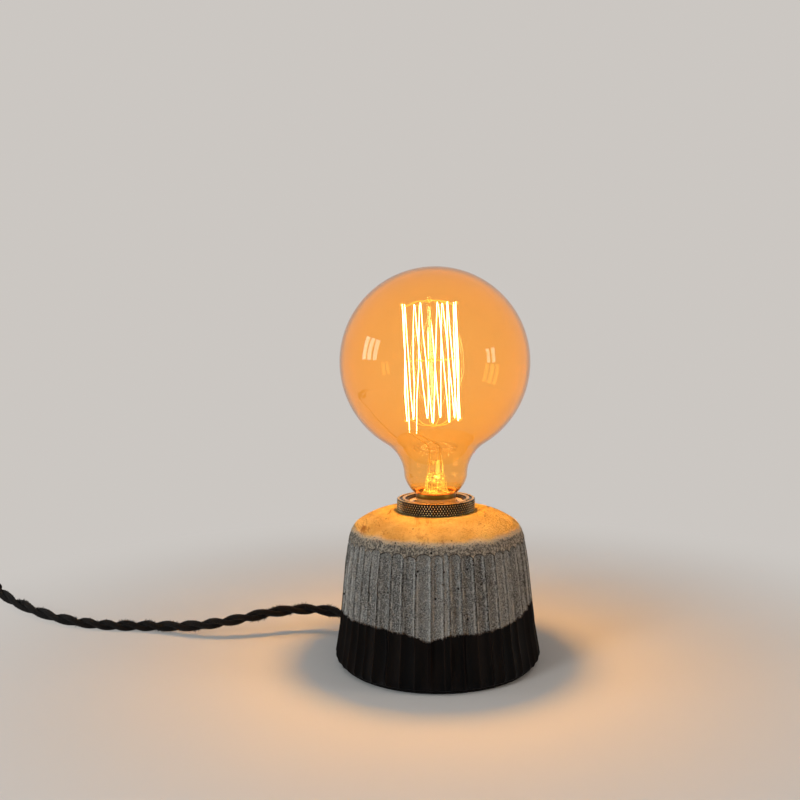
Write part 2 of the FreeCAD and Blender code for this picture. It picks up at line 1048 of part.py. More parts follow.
def bulb_leads():
    ends = [cage_points()[0], cage_points()[-1]]
    shapes = []
    for side, end in zip((-1, 1), ends):
        foot = vec(side * lead_wire_spread, 0, press_top)
        rise = foot + upwards * (press_depth * 2)
        upright = fine_wire(foot, rise + upwards * lead_wire_radius, lead_wire_radius)
        slanted = fine_wire(rise, end - upwards * lead_wire_radius, lead_wire_radius)
        shapes.append(upright.fuse(slanted))
    return leaned(Part.makeCompound(shapes))


# Rocker switch, built about its own middle with the cord along x

def placed_switch(shape):
    shape.translate(vec(switch_x, switch_y, 0))
    return shape


def rim_of(block, height):
    flat = [edge for edge in block.Edges if edge.BoundBox.ZLength < overrun / 2]
    return [edge for edge in flat if abs(edge.BoundBox.ZMin - height) < overrun / 2]


def switch_half(bottom, top, floor_below):
    outer = rounded_block(switch_length, switch_width, bottom, top, switch_corner)
    if floor_below:
        outer = outer.makeChamfer(switch_edge, rim_of(outer, bottom))
    else:
        outer = outer.makeFillet(switch_edge, rim_of(outer, top))
    inner = rounded_block(
        switch_length - 2 * switch_wall,
        switch_width - 2 * switch_wall,
        bottom + switch_wall if floor_below else bottom - overrun,
        top + overrun if floor_below else top - switch_wall,
        switch_corner - switch_wall,
    )
    posts = [
        Part.makeCylinder(switch_post_radius, top - bottom, point + upwards * bottom).common(outer)
        for point in switch_screw_points()
    ]
    entry_start = vec(-switch_length / 2 - overrun, 0, switch_split)
    entry_length = switch_length + 2 * overrun
    entry = Part.makeCylinder(cord_radius + cord_clearance, entry_length, entry_start, along)
    return outer.cut(inner).fuse(posts).cut(entry)


def switch_screw_points():
    aside = switch_width / 2 - switch_wall - switch_post_radius
    return [vec(side * switch_screw_spread, side * aside, 0) for side in (-1, 1)]


def switch_screws():
    screws = []
    for point in switch_screw_points():
        foot = point + upwards * (switch_edge / 2)
        head = Part.makeCylinder(switch_screw_head, switch_wall - switch_edge / 2, foot)
        shank = Part.makeCylinder(switch_screw_radius, switch_split + switch_wall, foot)
        screws.append(placed_switch(joined([head, shank])))
    return Part.makeCompound(screws)


def switch_screw_holes():
    holes = []
    for point in switch_screw_points():
        below = point - upwards * overrun
        holes.append(Part.makeCylinder(switch_screw_head, switch_wall + overrun, below))
        holes.append(Part.makeCylinder(switch_screw_radius, switch_split + switch_wall + switch_edge, point))
    return holes


def switch_base():
    half = switch_half(0, switch_split, True)
    return placed_switch(half.cut(switch_screw_holes()))


def switch_cover():
    half = switch_half(switch_split, switch_height, False)
    window_length = rocker_length + 2 * rocker_end_gap
    window_width = rocker_width + 2 * rocker_gap
    corner = vec(-window_length / 2, -window_width / 2, switch_split)
    window = Part.makeBox(window_length, window_width, switch_height, corner)
    lug_foot = pivot_height - lug_length / 2
    lugs = []
    for side in (-1, 1):
        middle = side * (rocker_width / 2 + lug_gap + lug_thickness / 2)
        foot = vec(-lug_length / 2, middle - lug_thickness / 2, lug_foot)
        lugs.append(Part.makeBox(lug_length, lug_thickness, switch_height - switch_edge - lug_foot, foot))
    bore = Part.makeCylinder(pivot_radius, pin_span(), vec(0, -pin_span() / 2, pivot_height), across)
    return placed_switch(half.cut([window] + switch_screw_holes()).fuse(lugs).cut(bore))


def pin_span():
    return rocker_width + 2 * (lug_gap + lug_thickness)


def rocker_pin():
    end = vec(0, -pin_span() / 2, pivot_height)
    return placed_switch(Part.makeCylinder(pivot_radius, pin_span(), end, across))


def switch_rocker():
    half = rocker_length / 2
    face = outline(
        (-half, -rocker_drop),
        (0, -rocker_keel),
        (half, -rocker_drop),
        (half, rocker_rise),
        (0, rocker_rise - rocker_dip),
        (-half, rocker_rise),
    )
    body = face.extrude(across * rocker_width)
    near_side = across * (-rocker_width / 2)
    body.translate(near_side)
    body = body.cut(Part.makeCylinder(pivot_radius + pivot_clearance, rocker_width, near_side, across))
    body.rotate(origin, across, rocker_tilt)
    body.translate(vec(0, 0, pivot_height))
    return placed_switch(body)


def switch_contacts():
    length = rocker_length / 2
    rise = contact_height - switch_wall
    foot = vec(length, -contact_width / 2, switch_wall)
    flat = Part.makeBox(length, contact_width, contact_thickness, foot)
    upright = Part.makeBox(contact_thickness, contact_width, rise, foot)
    strip = joined([flat, upright])
    other = strip.copy()
    other.rotate(origin, upwards, 180)
    return Part.makeCompound([placed_switch(strip), placed_switch(other)])


# Two-pin plug, built with its pins along -y and its cord end at y = 0

def plug_back():
    return coil_y - coil_radius - 2 * cord_radius


def placed_plug(shape):
    shape.translate(vec(coil_x - coil_radius, plug_back(), plug_thickness / 2))
    return shape


def plug_outline(bottom, top):
    half_back = plug_back_width / 2
    half_front = plug_width / 2
    points = [
        vec(-half_back, 0, bottom),
        vec(half_back, 0, bottom),
        vec(half_front, -plug_length + plug_shoulder, bottom),
        vec(half_front, -plug_length, bottom),
        vec(-half_front, -plug_length, bottom),
        vec(-half_front, -plug_length + plug_shoulder, bottom),
    ]
    block = Part.Face(Part.makePolygon(points + points[:1])).extrude(upwards * (top - bottom))
    upright = [edge for edge in block.Edges if edge.BoundBox.ZLength > overrun]
    return block.makeFillet(plug_edge * 2, upright)


def plug_half(bottom, top, face_height):
    block = plug_outline(bottom, top)
    block = block.makeFillet(plug_edge, rim_of(block, face_height))
    channel_bore = cord_radius + cord_clearance
    channel = Part.makeCylinder(channel_bore, plug_cord_entry + overrun, across * overrun, across * -1)
    cuts = [channel]
    for side in (-1, 1):
        face = vec(side * pin_spread, -plug_length - overrun, 0)
        cuts.append(Part.makeCylinder(pin_radius + plug_gap, pin_inside + overrun, face, across))
    under = vec(0, -plug_screw_place, -plug_thickness / 2)
    cuts.append(Part.makeCylinder(plug_screw_radius, plug_thickness - plug_edge, under))
    cuts.append(Part.makeCylinder(plug_screw_head, plug_edge + overrun, under - upwards * overrun))
    return placed_plug(block.cut(cuts))


def plug_lower():
    return plug_half(-plug_thickness / 2, -plug_gap / 2, -plug_thickness / 2)


def plug_upper():
    return plug_half(plug_gap / 2, plug_thickness / 2, plug_thickness / 2)


def plug_screw():
    foot = vec(0, -plug_screw_place, plug_edge / 2 - plug_thickness / 2)
    head = Part.makeCylinder(plug_screw_head - plug_gap, plug_edge / 2, foot)
    shank = Part.makeCylinder(plug_screw_radius - plug_gap, plug_thickness - 2 * plug_edge, foot)
    return placed_plug(joined([head, shank]))


def plug_pins():
    pins = []
    for side in (-1, 1):
        start = vec(side * pin_spread, -plug_length + pin_inside, 0)
        pin = Part.makeCylinder(pin_radius, pin_inside + pin_length, start, across * -1)
        round_edges = [edge for edge in pin.Edges if edge.BoundBox.YLength < pin_tip]
        tip = min(round_edges, key=lambda edge: edge.BoundBox.YMin)
        pins.append(placed_plug(pin.makeFillet(pin_tip, [tip])))
    return Part.makeCompound(pins)


os.makedirs("parts", exist_ok=True)


save(ceramic_base(), "ceramic_base")
save(base_pad(), "base_pad")
save(cord_grommet(), "cord_grommet")
save(shade_ring(), "shade_ring")
save(holder_sleeve(), "holder_sleeve")
save(clamp_ring(), "clamp_ring")
save(holder_cap(), "holder_cap")
save(holder_insert(), "holder_insert")
save(screw_shell(), "screw_shell")
save(tip_spring(), "tip_spring")
save(terminal_blocks(), "terminal_blocks")
save(terminal_screws(), "terminal_screws")
save(cord_grip(), "cord_grip")
save(grip_screw(), "grip_screw")
save(core_wires(), "core_wires")
save(cord_tube(inner_route(), "inner_cord"), "inner_cord")
save(bulb_globe(), "bulb_globe")
save(bulb_cap(), "bulb_cap")
save(bulb_insulator(), "bulb_insulator")
save(bulb_tip_contact(), "bulb_tip_contact")
save(bulb_stem(), "bulb_stem")
save(bulb_rod(), "bulb_rod")
save(bulb_filament(), "bulb_filament")
save(bulb_top_hooks(), "bulb_top_hooks")
save(bulb_middle_hooks(), "bulb_middle_hooks")
save(bulb_bottom_hooks(), "bulb_bottom_hooks")
save(bulb_leads(), "bulb_leads")
save(cord_tube(lead_route(), "cord_lead"), "cord_lead")
save(switch_base(), "switch_base")
save(switch_cover(), "switch_cover")
save(switch_rocker(), "switch_rocker")
save(rocker_pin(), "rocker_pin")
save(switch_contacts(), "switch_contacts")
save(switch_screws(), "switch_screws")
save(cord_tube(link_route(), "cord_link"), "cord_link")
save(cord_coil(), "cord_coil")
save(coil_tie(), "coil_tie")
save(cord_tube(tail_route(coil_end()), "cord_tail"), "cord_tail")
save(plug_lower(), "plug_lower")
save(plug_upper(), "plug_upper")
save(plug_pins(), "plug_pins")
save(plug_screw(), "plug_screw")
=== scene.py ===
import math
import random
import bpy
from mathutils import Matrix, Vector, noise


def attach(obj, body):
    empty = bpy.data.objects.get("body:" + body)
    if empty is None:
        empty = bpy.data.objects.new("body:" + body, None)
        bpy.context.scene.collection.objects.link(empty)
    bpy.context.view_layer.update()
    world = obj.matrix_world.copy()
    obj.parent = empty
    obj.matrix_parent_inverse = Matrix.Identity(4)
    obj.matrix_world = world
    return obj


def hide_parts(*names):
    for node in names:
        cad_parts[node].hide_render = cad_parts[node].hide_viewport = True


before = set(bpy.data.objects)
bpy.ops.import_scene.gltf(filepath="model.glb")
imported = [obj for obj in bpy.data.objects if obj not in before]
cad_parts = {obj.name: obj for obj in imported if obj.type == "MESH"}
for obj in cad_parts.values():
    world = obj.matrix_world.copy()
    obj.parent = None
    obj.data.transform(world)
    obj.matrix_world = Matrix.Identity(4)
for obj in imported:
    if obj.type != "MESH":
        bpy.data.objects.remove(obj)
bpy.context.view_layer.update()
mm = 0.001
print("frame loaded")


# Camera and light

cameraSet = {"place": (-23.04, -597.5, 219.85), "pitch": 4.398, "roll": -0.734, "lens": 40.8645, "sensor": 36, "nearest": 0.02}
areaSet = {  # place, size, panes, power of one pane, tone
    "leftWindow": ((-1380, -150, 500), (150, 480), 3, 1.1, (0.88, 0.95, 1.0)),
    "rightWindow": ((1250, -560, 360), (110, 330), 2, 0.5, (0.96, 0.98, 1.0)),
    "leftFill": ((-1010, -960, 560), (400, 500), 1, 7.4, (0.88, 0.96, 1.0)),
    "rightFill": ((1300, -330, 380), (420, 520), 1, 5.2, (1.0, 0.83, 0.68)),
    "ceiling": ((0, -300, 1700), (1600, 1400), 1, 5.2, (1.0, 0.98, 0.96)),
}
lightSet = {
    "seen": ("leftWindow", "rightWindow"), "paneGap": 60, "aim": (0, 0, 0.1),
    "bulbPower": 1.74, "bulbRadius": 20.0, "bulbTone": (1.0, 0.45, 0.045), "bulbHeight": 192.0,
    "ambient": 0.08, "backdrop": (0.60, 0.57, 0.54), "clear": (0.07, 0.46),
}


def clearSelection():
    if bpy.context.object and bpy.context.object.mode != "OBJECT":
        bpy.ops.object.mode_set(mode="OBJECT")
    bpy.ops.object.select_all(action="DESELECT")


def addCamera():
    clearSelection()
    bpy.ops.object.camera_add(location=[c * mm for c in cameraSet["place"]])
    camera = bpy.context.object
    camera.name = "photoCamera"
    camera.data.sensor_width = cameraSet["sensor"]
    camera.data.lens = cameraSet["lens"]
    camera.data.clip_start = cameraSet["nearest"]
    tilt = Matrix.Rotation(math.radians(90 - cameraSet["pitch"]), 3, "X")
    lean = Matrix.Rotation(math.radians(cameraSet["roll"]), 3, "Z")
    camera.rotation_euler = (tilt @ lean).to_euler()
    bpy.context.scene.camera = camera


def addLights():
    for name, (place, size, panes, power, tone) in areaSet.items():
        middle = Vector(place) * mm
        facing = (Vector(lightSet["aim"]) - middle).to_track_quat("-Z", "Y")
        wide, high = (side * mm for side in size)
        for pane in range(panes):
            shift = (pane - (panes - 1) / 2) * (wide + lightSet["paneGap"] * mm)
            clearSelection()
            bpy.ops.object.light_add(type="AREA", location=middle + facing @ Vector((shift, 0, 0)))
            lamp = bpy.context.object
            lamp.name = f"{name}Light{pane + 1}"
            lamp.rotation_euler = facing.to_euler()
            lamp.visible_glossy = lamp.visible_transmission = name in lightSet["seen"]
            lamp.data.shape = "RECTANGLE"
            lamp.data.size, lamp.data.size_y = wide, high
            lamp.data.energy, lamp.data.color = power, tone
    clearSelection()
    bpy.ops.object.light_add(type="POINT", location=(0, 0, lightSet["bulbHeight"] * mm))
    glow = bpy.context.object
    glow.name = "bulbLight"
    glow.data.energy, glow.data.color = lightSet["bulbPower"], lightSet["bulbTone"]
    glow.data.shadow_soft_size = lightSet["bulbRadius"] * mm
    glow.visible_camera = glow.visible_glossy = glow.visible_transmission = False


# Materials, with shader sums written as expressions

class Value:
    def __init__(self, nodes, socket):
        self.nodes = nodes
        self.socket = socket

    def sum(self, kind, first, second):
        return self.nodes.add("Math", {0: first, 1: second}, operation=kind)

    def __add__(self, other): return self.sum("ADD", self, other)
    def __radd__(self, other): return self.sum("ADD", self, other)
    def __sub__(self, other): return self.sum("SUBTRACT", self, other)
    def __rsub__(self, other): return self.sum("SUBTRACT", other, self)
    def __mul__(self, other): return self.sum("MULTIPLY", self, other)
    def most(self, other): return self.sum("MAXIMUM", self, other)
    def sine(self): return self.sum("SINE", self, 0)

    def ramp(self, low, high):  # eased from 0 at low to 1 at high
        ends = {"Value": self, "From Min": low, "From Max": high}
        return self.nodes.add("MapRange", ends, interpolation_type="SMOOTHSTEP")


class Nodes:
    def __init__(self, tree):
        self.tree = tree

    def feed(self, socket, value):
        if isinstance(value, Value):
            self.tree.links.new(value.socket, socket)
        else:
            socket.default_value = (*value, 1) if socket.type == "RGBA" else value

    def add(self, kind, inputs=None, out=0, **settings):
        node = self.tree.nodes.new("ShaderNode" + kind)
        for name, value in settings.items():
            setattr(node, name, value)
        for name, value in (inputs or {}).items():
            self.feed(node.inputs[name], value)
        return Value(self, node.outputs[out])


def shade(r, g, b):  # a colour as it shows on screen, out of 255
    return tuple(((c / 255 + 0.055) / 1.055) ** 2.4 if c > 10 else c / 3295 for c in (r, g, b))


class Look(Nodes):
    def __init__(self, name, **fixed):
        self.material = bpy.data.materials.new(name)
        self.material.use_nodes = True
        super().__init__(self.material.node_tree)
        self.shader = self.tree.nodes["Principled BSDF"]
        self.set(**fixed)

    def set(self, **values):
        for name, value in values.items():
            words = "".join(" " + c if c.isupper() else c for c in name).strip()
            self.feed(self.shader.inputs[words.replace("I O R", "IOR")], value)

    def output(self, name, value):
        self.feed(self.tree.nodes["Material Output"].inputs[name], value)

    def place(self, stretch=None, turn=(0, 0, 0)):
        spot = self.add("TexCoord", out="Object")
        return self.add("Mapping", {"Vector": spot, "Scale": stretch, "Rotation": turn}) if stretch else spot

    def grain(self, scale, detail=3.0, rough=0.55, at=None, warp=0.0):
        facts = {"Vector": at or self.place(), "Scale": scale, "Detail": detail, "Roughness": rough, "Distortion": warp}
        return self.add("TexNoise", facts)

    def trait(self, name):
        return self.add("Attribute", out="Fac", attribute_name=name)

    def mixed(self, share, first, second):
        return self.add("Mix", {0: share, 6: first, 7: second}, 2, data_type="RGBA")

    def tones(self, share, dark, light):
        return self.mixed(share, shade(*dark), shade(*light))

    def layered(self, colour, *layers):  # each layer has its share and its tone
        for share, tone in layers:
            colour = self.mixed(share, colour, shade(*tone))
        return colour

    def bumped(self, height, distance, strength=1.0):
        return self.add("Bump", {"Height": height, "Distance": distance, "Strength": strength})

    def finish(self, colour, marks, rough, spread, distance, strength=1.0):
        self.set(BaseColor=colour, Roughness=rough + marks * spread, Normal=self.bumped(marks, distance, strength))


def pick(piece):
    clearSelection()
    piece.select_set(True)
    bpy.context.view_layer.objects.active = piece


def coat(piece, look):
    piece.data.materials.clear()
    piece.data.materials.append(look.material)


def dress(piece, look, body, nodes, angle):
    coat(piece, look)
    pick(piece)
    if angle:
        bpy.ops.object.shade_smooth_by_angle(angle=math.radians(angle))
    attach(piece, body)
    if nodes:
        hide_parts(*nodes)
    return piece


# Shapes made as by hand

def clamp(x, low=0, high=1):
    return min(max(x, low), high)


def stray(x, y, z):
    return noise.noise(Vector((x, y, z)))


def between(table, x):  # off the table it gives the last entry
    for (x0, y0), (x1, y1) in zip(table, table[1:]):
        if x0 <= x <= x1:
            return y0 + (y1 - y0) * ((x - x0) / (x1 - x0))
    return table[-1][1]


def near(r, z, *offsets):  # profile points beside a corner
    return [(r + dr, z + dz) for dr, dz in offsets]


def bowed(start, end, bow, count):  # points after start up to end, bowed to the left of the way
    run = (end[0] - start[0], end[1] - start[1])
    long = math.hypot(*run)
    side = (-run[1] / long, run[0] / long)
    points = []
    for i in range(1, count + 1):
        t = i / count
        push = 4 * bow * t * (1 - t)
        points.append((start[0] + run[0] * t + side[0] * push, start[1] + run[1] * t + side[1] * push))
    return points


def chained(start, *runs):  # points after start, along runs that have an end, a bow and a count
    points = []
    for end, bow, count in runs:
        points += bowed(start, end, bow, count)
        start = end
    return points


def swung(centre, radius, first, last, count):  # points on an arc, angles in degrees
    turns = [math.radians(first + (last - first) * i / count) for i in range(count + 1)]
    return [(centre[0] + radius * math.cos(t), centre[1] + radius * math.sin(t)) for t in turns]


def turnOutward(piece):  # its faces
    pick(piece)
    bpy.ops.object.mode_set(mode="EDIT")
    bpy.ops.mesh.select_all(action="SELECT")
    bpy.ops.mesh.normals_make_consistent(inside=False)
    bpy.ops.object.mode_set(mode="OBJECT")
    return piece


def turnedPiece(name, sides, profile, closed=True):
    profile = [(max(r, 0.002), z) for r, z in profile]
    clearSelection()
    radius, height = profile[0]
    bpy.ops.mesh.primitive_circle_add(vertices=sides, radius=radius * mm, location=(0, 0, height * mm))
    piece = bpy.context.object
    piece.name = name
    bpy.ops.object.transform_apply(location=True)
    bpy.ops.object.mode_set(mode="EDIT")
    bpy.ops.mesh.select_all(action="SELECT")
    after = profile[1:] + (profile[:1] if closed else [])
    for (r0, z0), (r, z) in zip(profile, after):
        bpy.ops.mesh.extrude_region_move(TRANSFORM_OT_translate={"value": (0, 0, (z - z0) * mm)})
        if r != r0:
            bpy.ops.transform.resize(value=(r / r0, r / r0, 1), center_override=(0, 0, 0))
    bpy.ops.mesh.select_all(action="SELECT")
    bpy.ops.mesh.remove_doubles(threshold=0.012 * mm)
    return turnOutward(piece)


def linked(name, data):
    piece = bpy.data.objects.new(name, data)
    bpy.context.collection.objects.link(piece)
    return piece


def drawnLine(name, strands, smooth, steps):
    line = bpy.data.curves.new(name, "CURVE")
    line.dimensions = "3D"
    for strand in strands:
        spline = line.splines.new("NURBS" if smooth else "POLY")
        spline.points.add(len(strand) - 1)
        for slot, point in zip(spline.points, strand):
            slot.co = (*[c * mm for c in point], 1)
        if smooth:
            spline.order_u = 3
            spline.use_endpoint_u = True
            spline.resolution_u = steps
    return linked(name, line)


def wirePiece(name, strands, radius, smooth=False):
    wire = drawnLine(name, strands, smooth, 4)
    wire.data.bevel_depth = radius * mm
    wire.data.bevel_resolution = 2
    wire.data.use_fill_caps = True
    pick(wire)
    bpy.ops.object.convert(target="MESH")
    return bpy.context.object


def useModifier(piece, kind, **facts):
    pick(piece)
    modifier = piece.modifiers.new(kind.title(), kind)
    for name, value in facts.items():
        setattr(modifier, name, value)
    bpy.ops.object.modifier_apply(modifier=modifier.name)


def cutAway(piece, cutter):
    useModifier(piece, "BOOLEAN", operation="DIFFERENCE", object=cutter, solver="EXACT")
    bpy.data.objects.remove(cutter)


def spots(piece):  # each vertex with its place in mm and its distance from the axis
    for vertex in piece.data.vertices:
        x, y, z = (c / mm for c in vertex.co)
        yield vertex, x, y, z, math.hypot(x, y)


def narrow(vertex, share):
    vertex.co.x *= share
    vertex.co.y *= share


def mark(piece, **traits):  # numbers at the vertices, for the piece's look
    for name, values in traits.items():
        piece.data.attributes.new(name, "FLOAT", "POINT")
        piece.data.attributes[name].data.foreach_set("value", values)


addCamera()
addLights()
print("camera and lights placed")


# Twisted cotton cord

cordSet = {
    "across": 2.0, "broad": 2.3, "apart": 1.88, "twist": 34.2, "step": 1.3, "sides": 12, "lumps": 0.07, "lowest": 0.05,
    "fibres": 5.5, "fibreLength": 2.4, "fibreRadius": 0.19, "fibreRoot": 0.94, "fibreLowest": 0.35,
    "tuftFrom": 0.12, "tuftLumps": (0.5, 1.3), "tuftFibres": (0.7, 2.2), "tuftLength": (0.6, 1), "threads": (75.4, 5.2),
    "crossings": (15.6, 33.9, 50.8, 67.7, 84.6, 101.6, 118.5, 138.0, 157.5, 173.2, 188.8, 204.4, 222.6, 247.4, 276.0, 309.9),
    "turns": (22, 202, 383, 563, 743, 924, 1106, 1288, 1469, 1649, 1830, 2011, 2194, 2378, 2563, 2748),
}
coilSet = {
    "place": (-430.0, 97.0), "radius": 49.5, "pitch": 7.9, "level": 4.6, "turnsIn": 2.5, "turnsOut": 2.5, "perTurn": 18,
}
exitTurn = math.radians(143.5)


def exitPoint(reach, height):
    return (reach * math.cos(exitTurn), reach * math.sin(exitTurn), height)


leadRoute = [
    exitPoint(68.2, 14.5), (-66.8, 49.4, 14.9), (-88.0, 50.5, 18.8), (-116.0, 42.0, 19.4), (-146.0, 39.6, 13.6),
    (-176.0, 47.5, 7.4), (-208.0, 60.0, 4.0), (-243.0, 62.6, 3.8), (-278.0, 76.0, 3.8), (-313.0, 102.0, 3.8),
    (-345.0, 132.0, 4.2), (-359.0, 148.0, 5.8), (-371.0, 160.5, 8.4), (-383.0, 166.0, 10.0), (-394.0, 166.0, 10.0),
]
linkRoute = [
    (-434.0, 166.0, 10.0), (-447.0, 166.0, 9.8), (-461.0, 162.5, 8.2), (-472.5, 151.0, 6.2), (-477.5, 136.0, 5.2),
    (-479.4, 120.5, 4.7), (-479.5, 104.4, 4.6),
]
tailRoute = [(-479.5, 89.6, 12.5), (-479.5, 73.6, 11.9), (-478.7, 62.1, 9.0), (-479.5, 44.1, 6.85), (-479.5, 31.1, 6.85)]
innerRoute = [exitPoint(*spot) for spot in ((68.2, 14.5), (54.0, 14.5), (37.5, 8.8), (23.0, 7.6), (10.8, 12.0), (2.6, 21.8))]
innerRoute += [(0, 0, 34.5), (0, 0, 45.9)]


def coilPoint(turn):
    reverse = coilSet["turnsIn"]
    radius = coilSet["radius"] - coilSet["pitch"] * (reverse - abs(turn - reverse))
    radius /= math.cos(math.pi / coilSet["perTurn"])
    climb = clamp(turn - reverse + 0.25, 0, 0.5) * 2
    height = coilSet["level"] + coilSet["pitch"] * climb * climb * (3 - 2 * climb)
    angle = math.pi + 2 * math.pi * turn
    return (coilSet["place"][0] + radius * math.cos(angle), coilSet["place"][1] + radius * math.sin(angle), height)


def coilRoute():
    count = round((coilSet["turnsIn"] + coilSet["turnsOut"]) * coilSet["perTurn"])
    return [coilPoint(i / coilSet["perTurn"]) for i in range(count + 1)]


def followed(route):  # points along the route's smooth line, evenly spaced, and its length
    holder = drawnLine("route", [route], True, 16)
    line, mesh = holder.data, bpy.data.meshes.new_from_object(holder)
    points = [vertex.co.copy() for vertex in mesh.vertices]
    bpy.data.objects.remove(holder)
    bpy.data.meshes.remove(mesh)
    bpy.data.curves.remove(line)
    lengths = [(b - a).length for a, b in zip(points, points[1:])]
    count = max(8, round(sum(lengths) / (cordSet["step"] * mm)))
    gap = sum(lengths) / count
    even = [points[0]]
    travelled, i = 0.0, 0
    for k in range(1, count):
        while i < len(lengths) - 1 and travelled + lengths[i] < k * gap:
            travelled += lengths[i]
            i += 1
        even.append(points[i].lerp(points[i + 1], (k * gap - travelled) / lengths[i]))
    even.append(points[-1])
    return even, sum(lengths)


def carriedFrames(points):  # a side direction carried along the line without twist
    ways = [(b - a).normalized() for a, b in zip([points[0]] + points[:-1], points[1:] + [points[-1]])]
    side = ways[0].cross(Vector((0, 0, 1)))
    side = side.normalized() if side.length > 0.01 else Vector((1, 0, 0))
    sides = []
    for way in ways:
        side = (side - way * side.dot(way)).normalized()
        sides.append(side)
    return ways, sides


def twistTurn(along, startTurn, followsTable):  # how far the strands have turned, in degrees
    rate = 360 / cordSet["twist"]
    if not followsTable:
        return startTurn + along * rate
    places, turns = cordSet["crossings"], cordSet["turns"]
    if along < places[0]:
        return turns[0] + (along - places[0]) * rate
    if along > places[-1]:
        return turns[-1] + (along - places[-1]) * (turns[-1] - turns[-2]) / (places[-1] - places[-2])
    return between(tuple(zip(places, turns)), along)


def twistedCord(name, route, startTurn=0.0, bare=False, followsTable=False):
    s = cordSet
    points, length = followed(route)
    ways, sides = carriedFrames(points)
    gap = length / (len(points) - 1)
    vertices, faces, marks, fibres = [], [], [], []
    dice = random.Random(len(points))
    count = s["sides"]
    for strand in (0, 1):
        first = len(vertices)
        for k, (point, way, side) in enumerate(zip(points, ways, sides)):
            along = k * gap / mm
            turn = math.radians(twistTurn(along, startTurn, followsTable)) + math.pi * strand
            out = side * math.cos(turn) + way.cross(side) * math.sin(turn)
            beside = way.cross(out)
            tufted = stray(along * 0.035, strand * 3.0, 5.0) > s["tuftFrom"]

            def skin(t, swell):
                reach = out * (s["apart"] + s["across"] * swell * math.cos(t))
                return point + (reach + beside * s["broad"] * swell * math.sin(t)) * mm

            for i in range(count):
                t = 2 * math.pi * i / count
                lump = stray(k * 0.45, strand * 9.0 + math.cos(t) * 1.4, math.sin(t) * 1.4)
                spot = skin(t, 1 + s["lumps"] * s["tuftLumps"][tufted] * lump)
                spot.z = max(spot.z, s["lowest"] * mm)
                vertices.append(spot)
                marks.append((i / count, along))
            share = s["fibres"] * gap / mm * s["tuftFibres"][tufted]
            for _ in range(0 if bare else int(share + dice.random())):
                t = dice.uniform(0, 2 * math.pi)
                root = skin(t, s["fibreRoot"])
                away = out * math.cos(t) + beside * math.sin(t)
                lean = (away + way * dice.uniform(-1.6, 1.6)).normalized()
                tip = root + lean * dice.uniform(0.3, 1.0) * s["fibreLength"] * s["tuftLength"][tufted] * mm
                if min(root.z, tip.z) > s["fibreLowest"] * mm:
                    fibres.append((root, tip, lean.cross(way).normalized()))
        last = len(vertices) - count
        for row in range(first, last, count):
            pairs = [(row + i, row + (i + 1) % count) for i in range(count)]
            faces += [(a, b, b + count, a + count) for a, b in pairs]
        faces += [tuple(reversed(range(first, first + count))), tuple(range(last, last + count))]
    for root, tip, wide in fibres:
        other = (tip - root).normalized().cross(wide) * s["fibreRadius"] * mm
        wide = wide * s["fibreRadius"] * mm
        at = len(vertices)
        vertices += [root + wide, root - wide * 0.5 + other, root - wide * 0.5 - other, tip]
        marks += [(0.5, 0)] * 4
        faces += [(at, at + 1, at + 3), (at + 1, at + 2, at + 3), (at + 2, at, at + 3), (at, at + 2, at + 1)]
    mesh = bpy.data.meshes.new(name)
    mesh.from_pydata(vertices, [], faces)
    around = mesh.uv_layers.new(name="weave").data
    for loop in mesh.loops:
        around[loop.index].uv = marks[loop.vertex_index]
    for face in mesh.polygons:
        corners = [around[i] for i in face.loop_indices]
        turns = [corner.uv[0] for corner in corners]
        if len(corners) == 4 and max(turns) - min(turns) > 0.5:  # the face that closes the round
            for corner in corners:
                if corner.uv[0] < 0.5:
                    corner.uv = (corner.uv[0] + 1, corner.uv[1])
        face.use_smooth = True
    return linked(name, mesh), [tuple(point) for point in points], length


def cordLook():
    look = Look("twistedCotton", Roughness=0.92, SpecularIORLevel=0.1, SheenWeight=0.06, SheenRoughness=0.6)
    weave = look.add("UVMap", uv_map="weave")
    around, along = (look.add("SeparateXYZ", {"Vector": weave}, axis) * rate for axis, rate in zip("XY", cordSet["threads"]))
    braid = (around + along).sine().most((around - along).sine())
    tufts = look.grain(900, 4, 0.6)
    dark = look.tones(look.grain(70, 2).ramp(0.4, 0.65), (8, 7, 7), (19, 13, 10))
    colour = look.layered(dark, (braid.ramp(-0.2, 1.0) * 0.5, (26, 19, 15)))
    look.set(BaseColor=colour, Normal=look.bumped(braid * 0.5 + tufts * 0.9, 0.00035, 0.9))
    return look


cottonLook = cordLook()
leadCord, leadPath, leadLength = twistedCord("leadCord", leadRoute, followsTable=True)
farCord, farPath, farLength = twistedCord("farCord", linkRoute + coilRoute() + tailRoute, 20)
innerCord, innerPath, innerLength = twistedCord("innerCord", innerRoute, 140, bare=True)
dress(leadCord, cottonLook, "root", ["cord_lead"], 0)
dress(farCord, cottonLook, "root", ["cord_link", "cord_coil", "cord_tail"], 0)
dress(innerCord, cottonLook, "root", ["inner_cord"], 0)
print("cords", round(leadLength, 4), round(farLength, 4), round(innerLength, 4))


# Stoneware base: turned, then cut into flutes

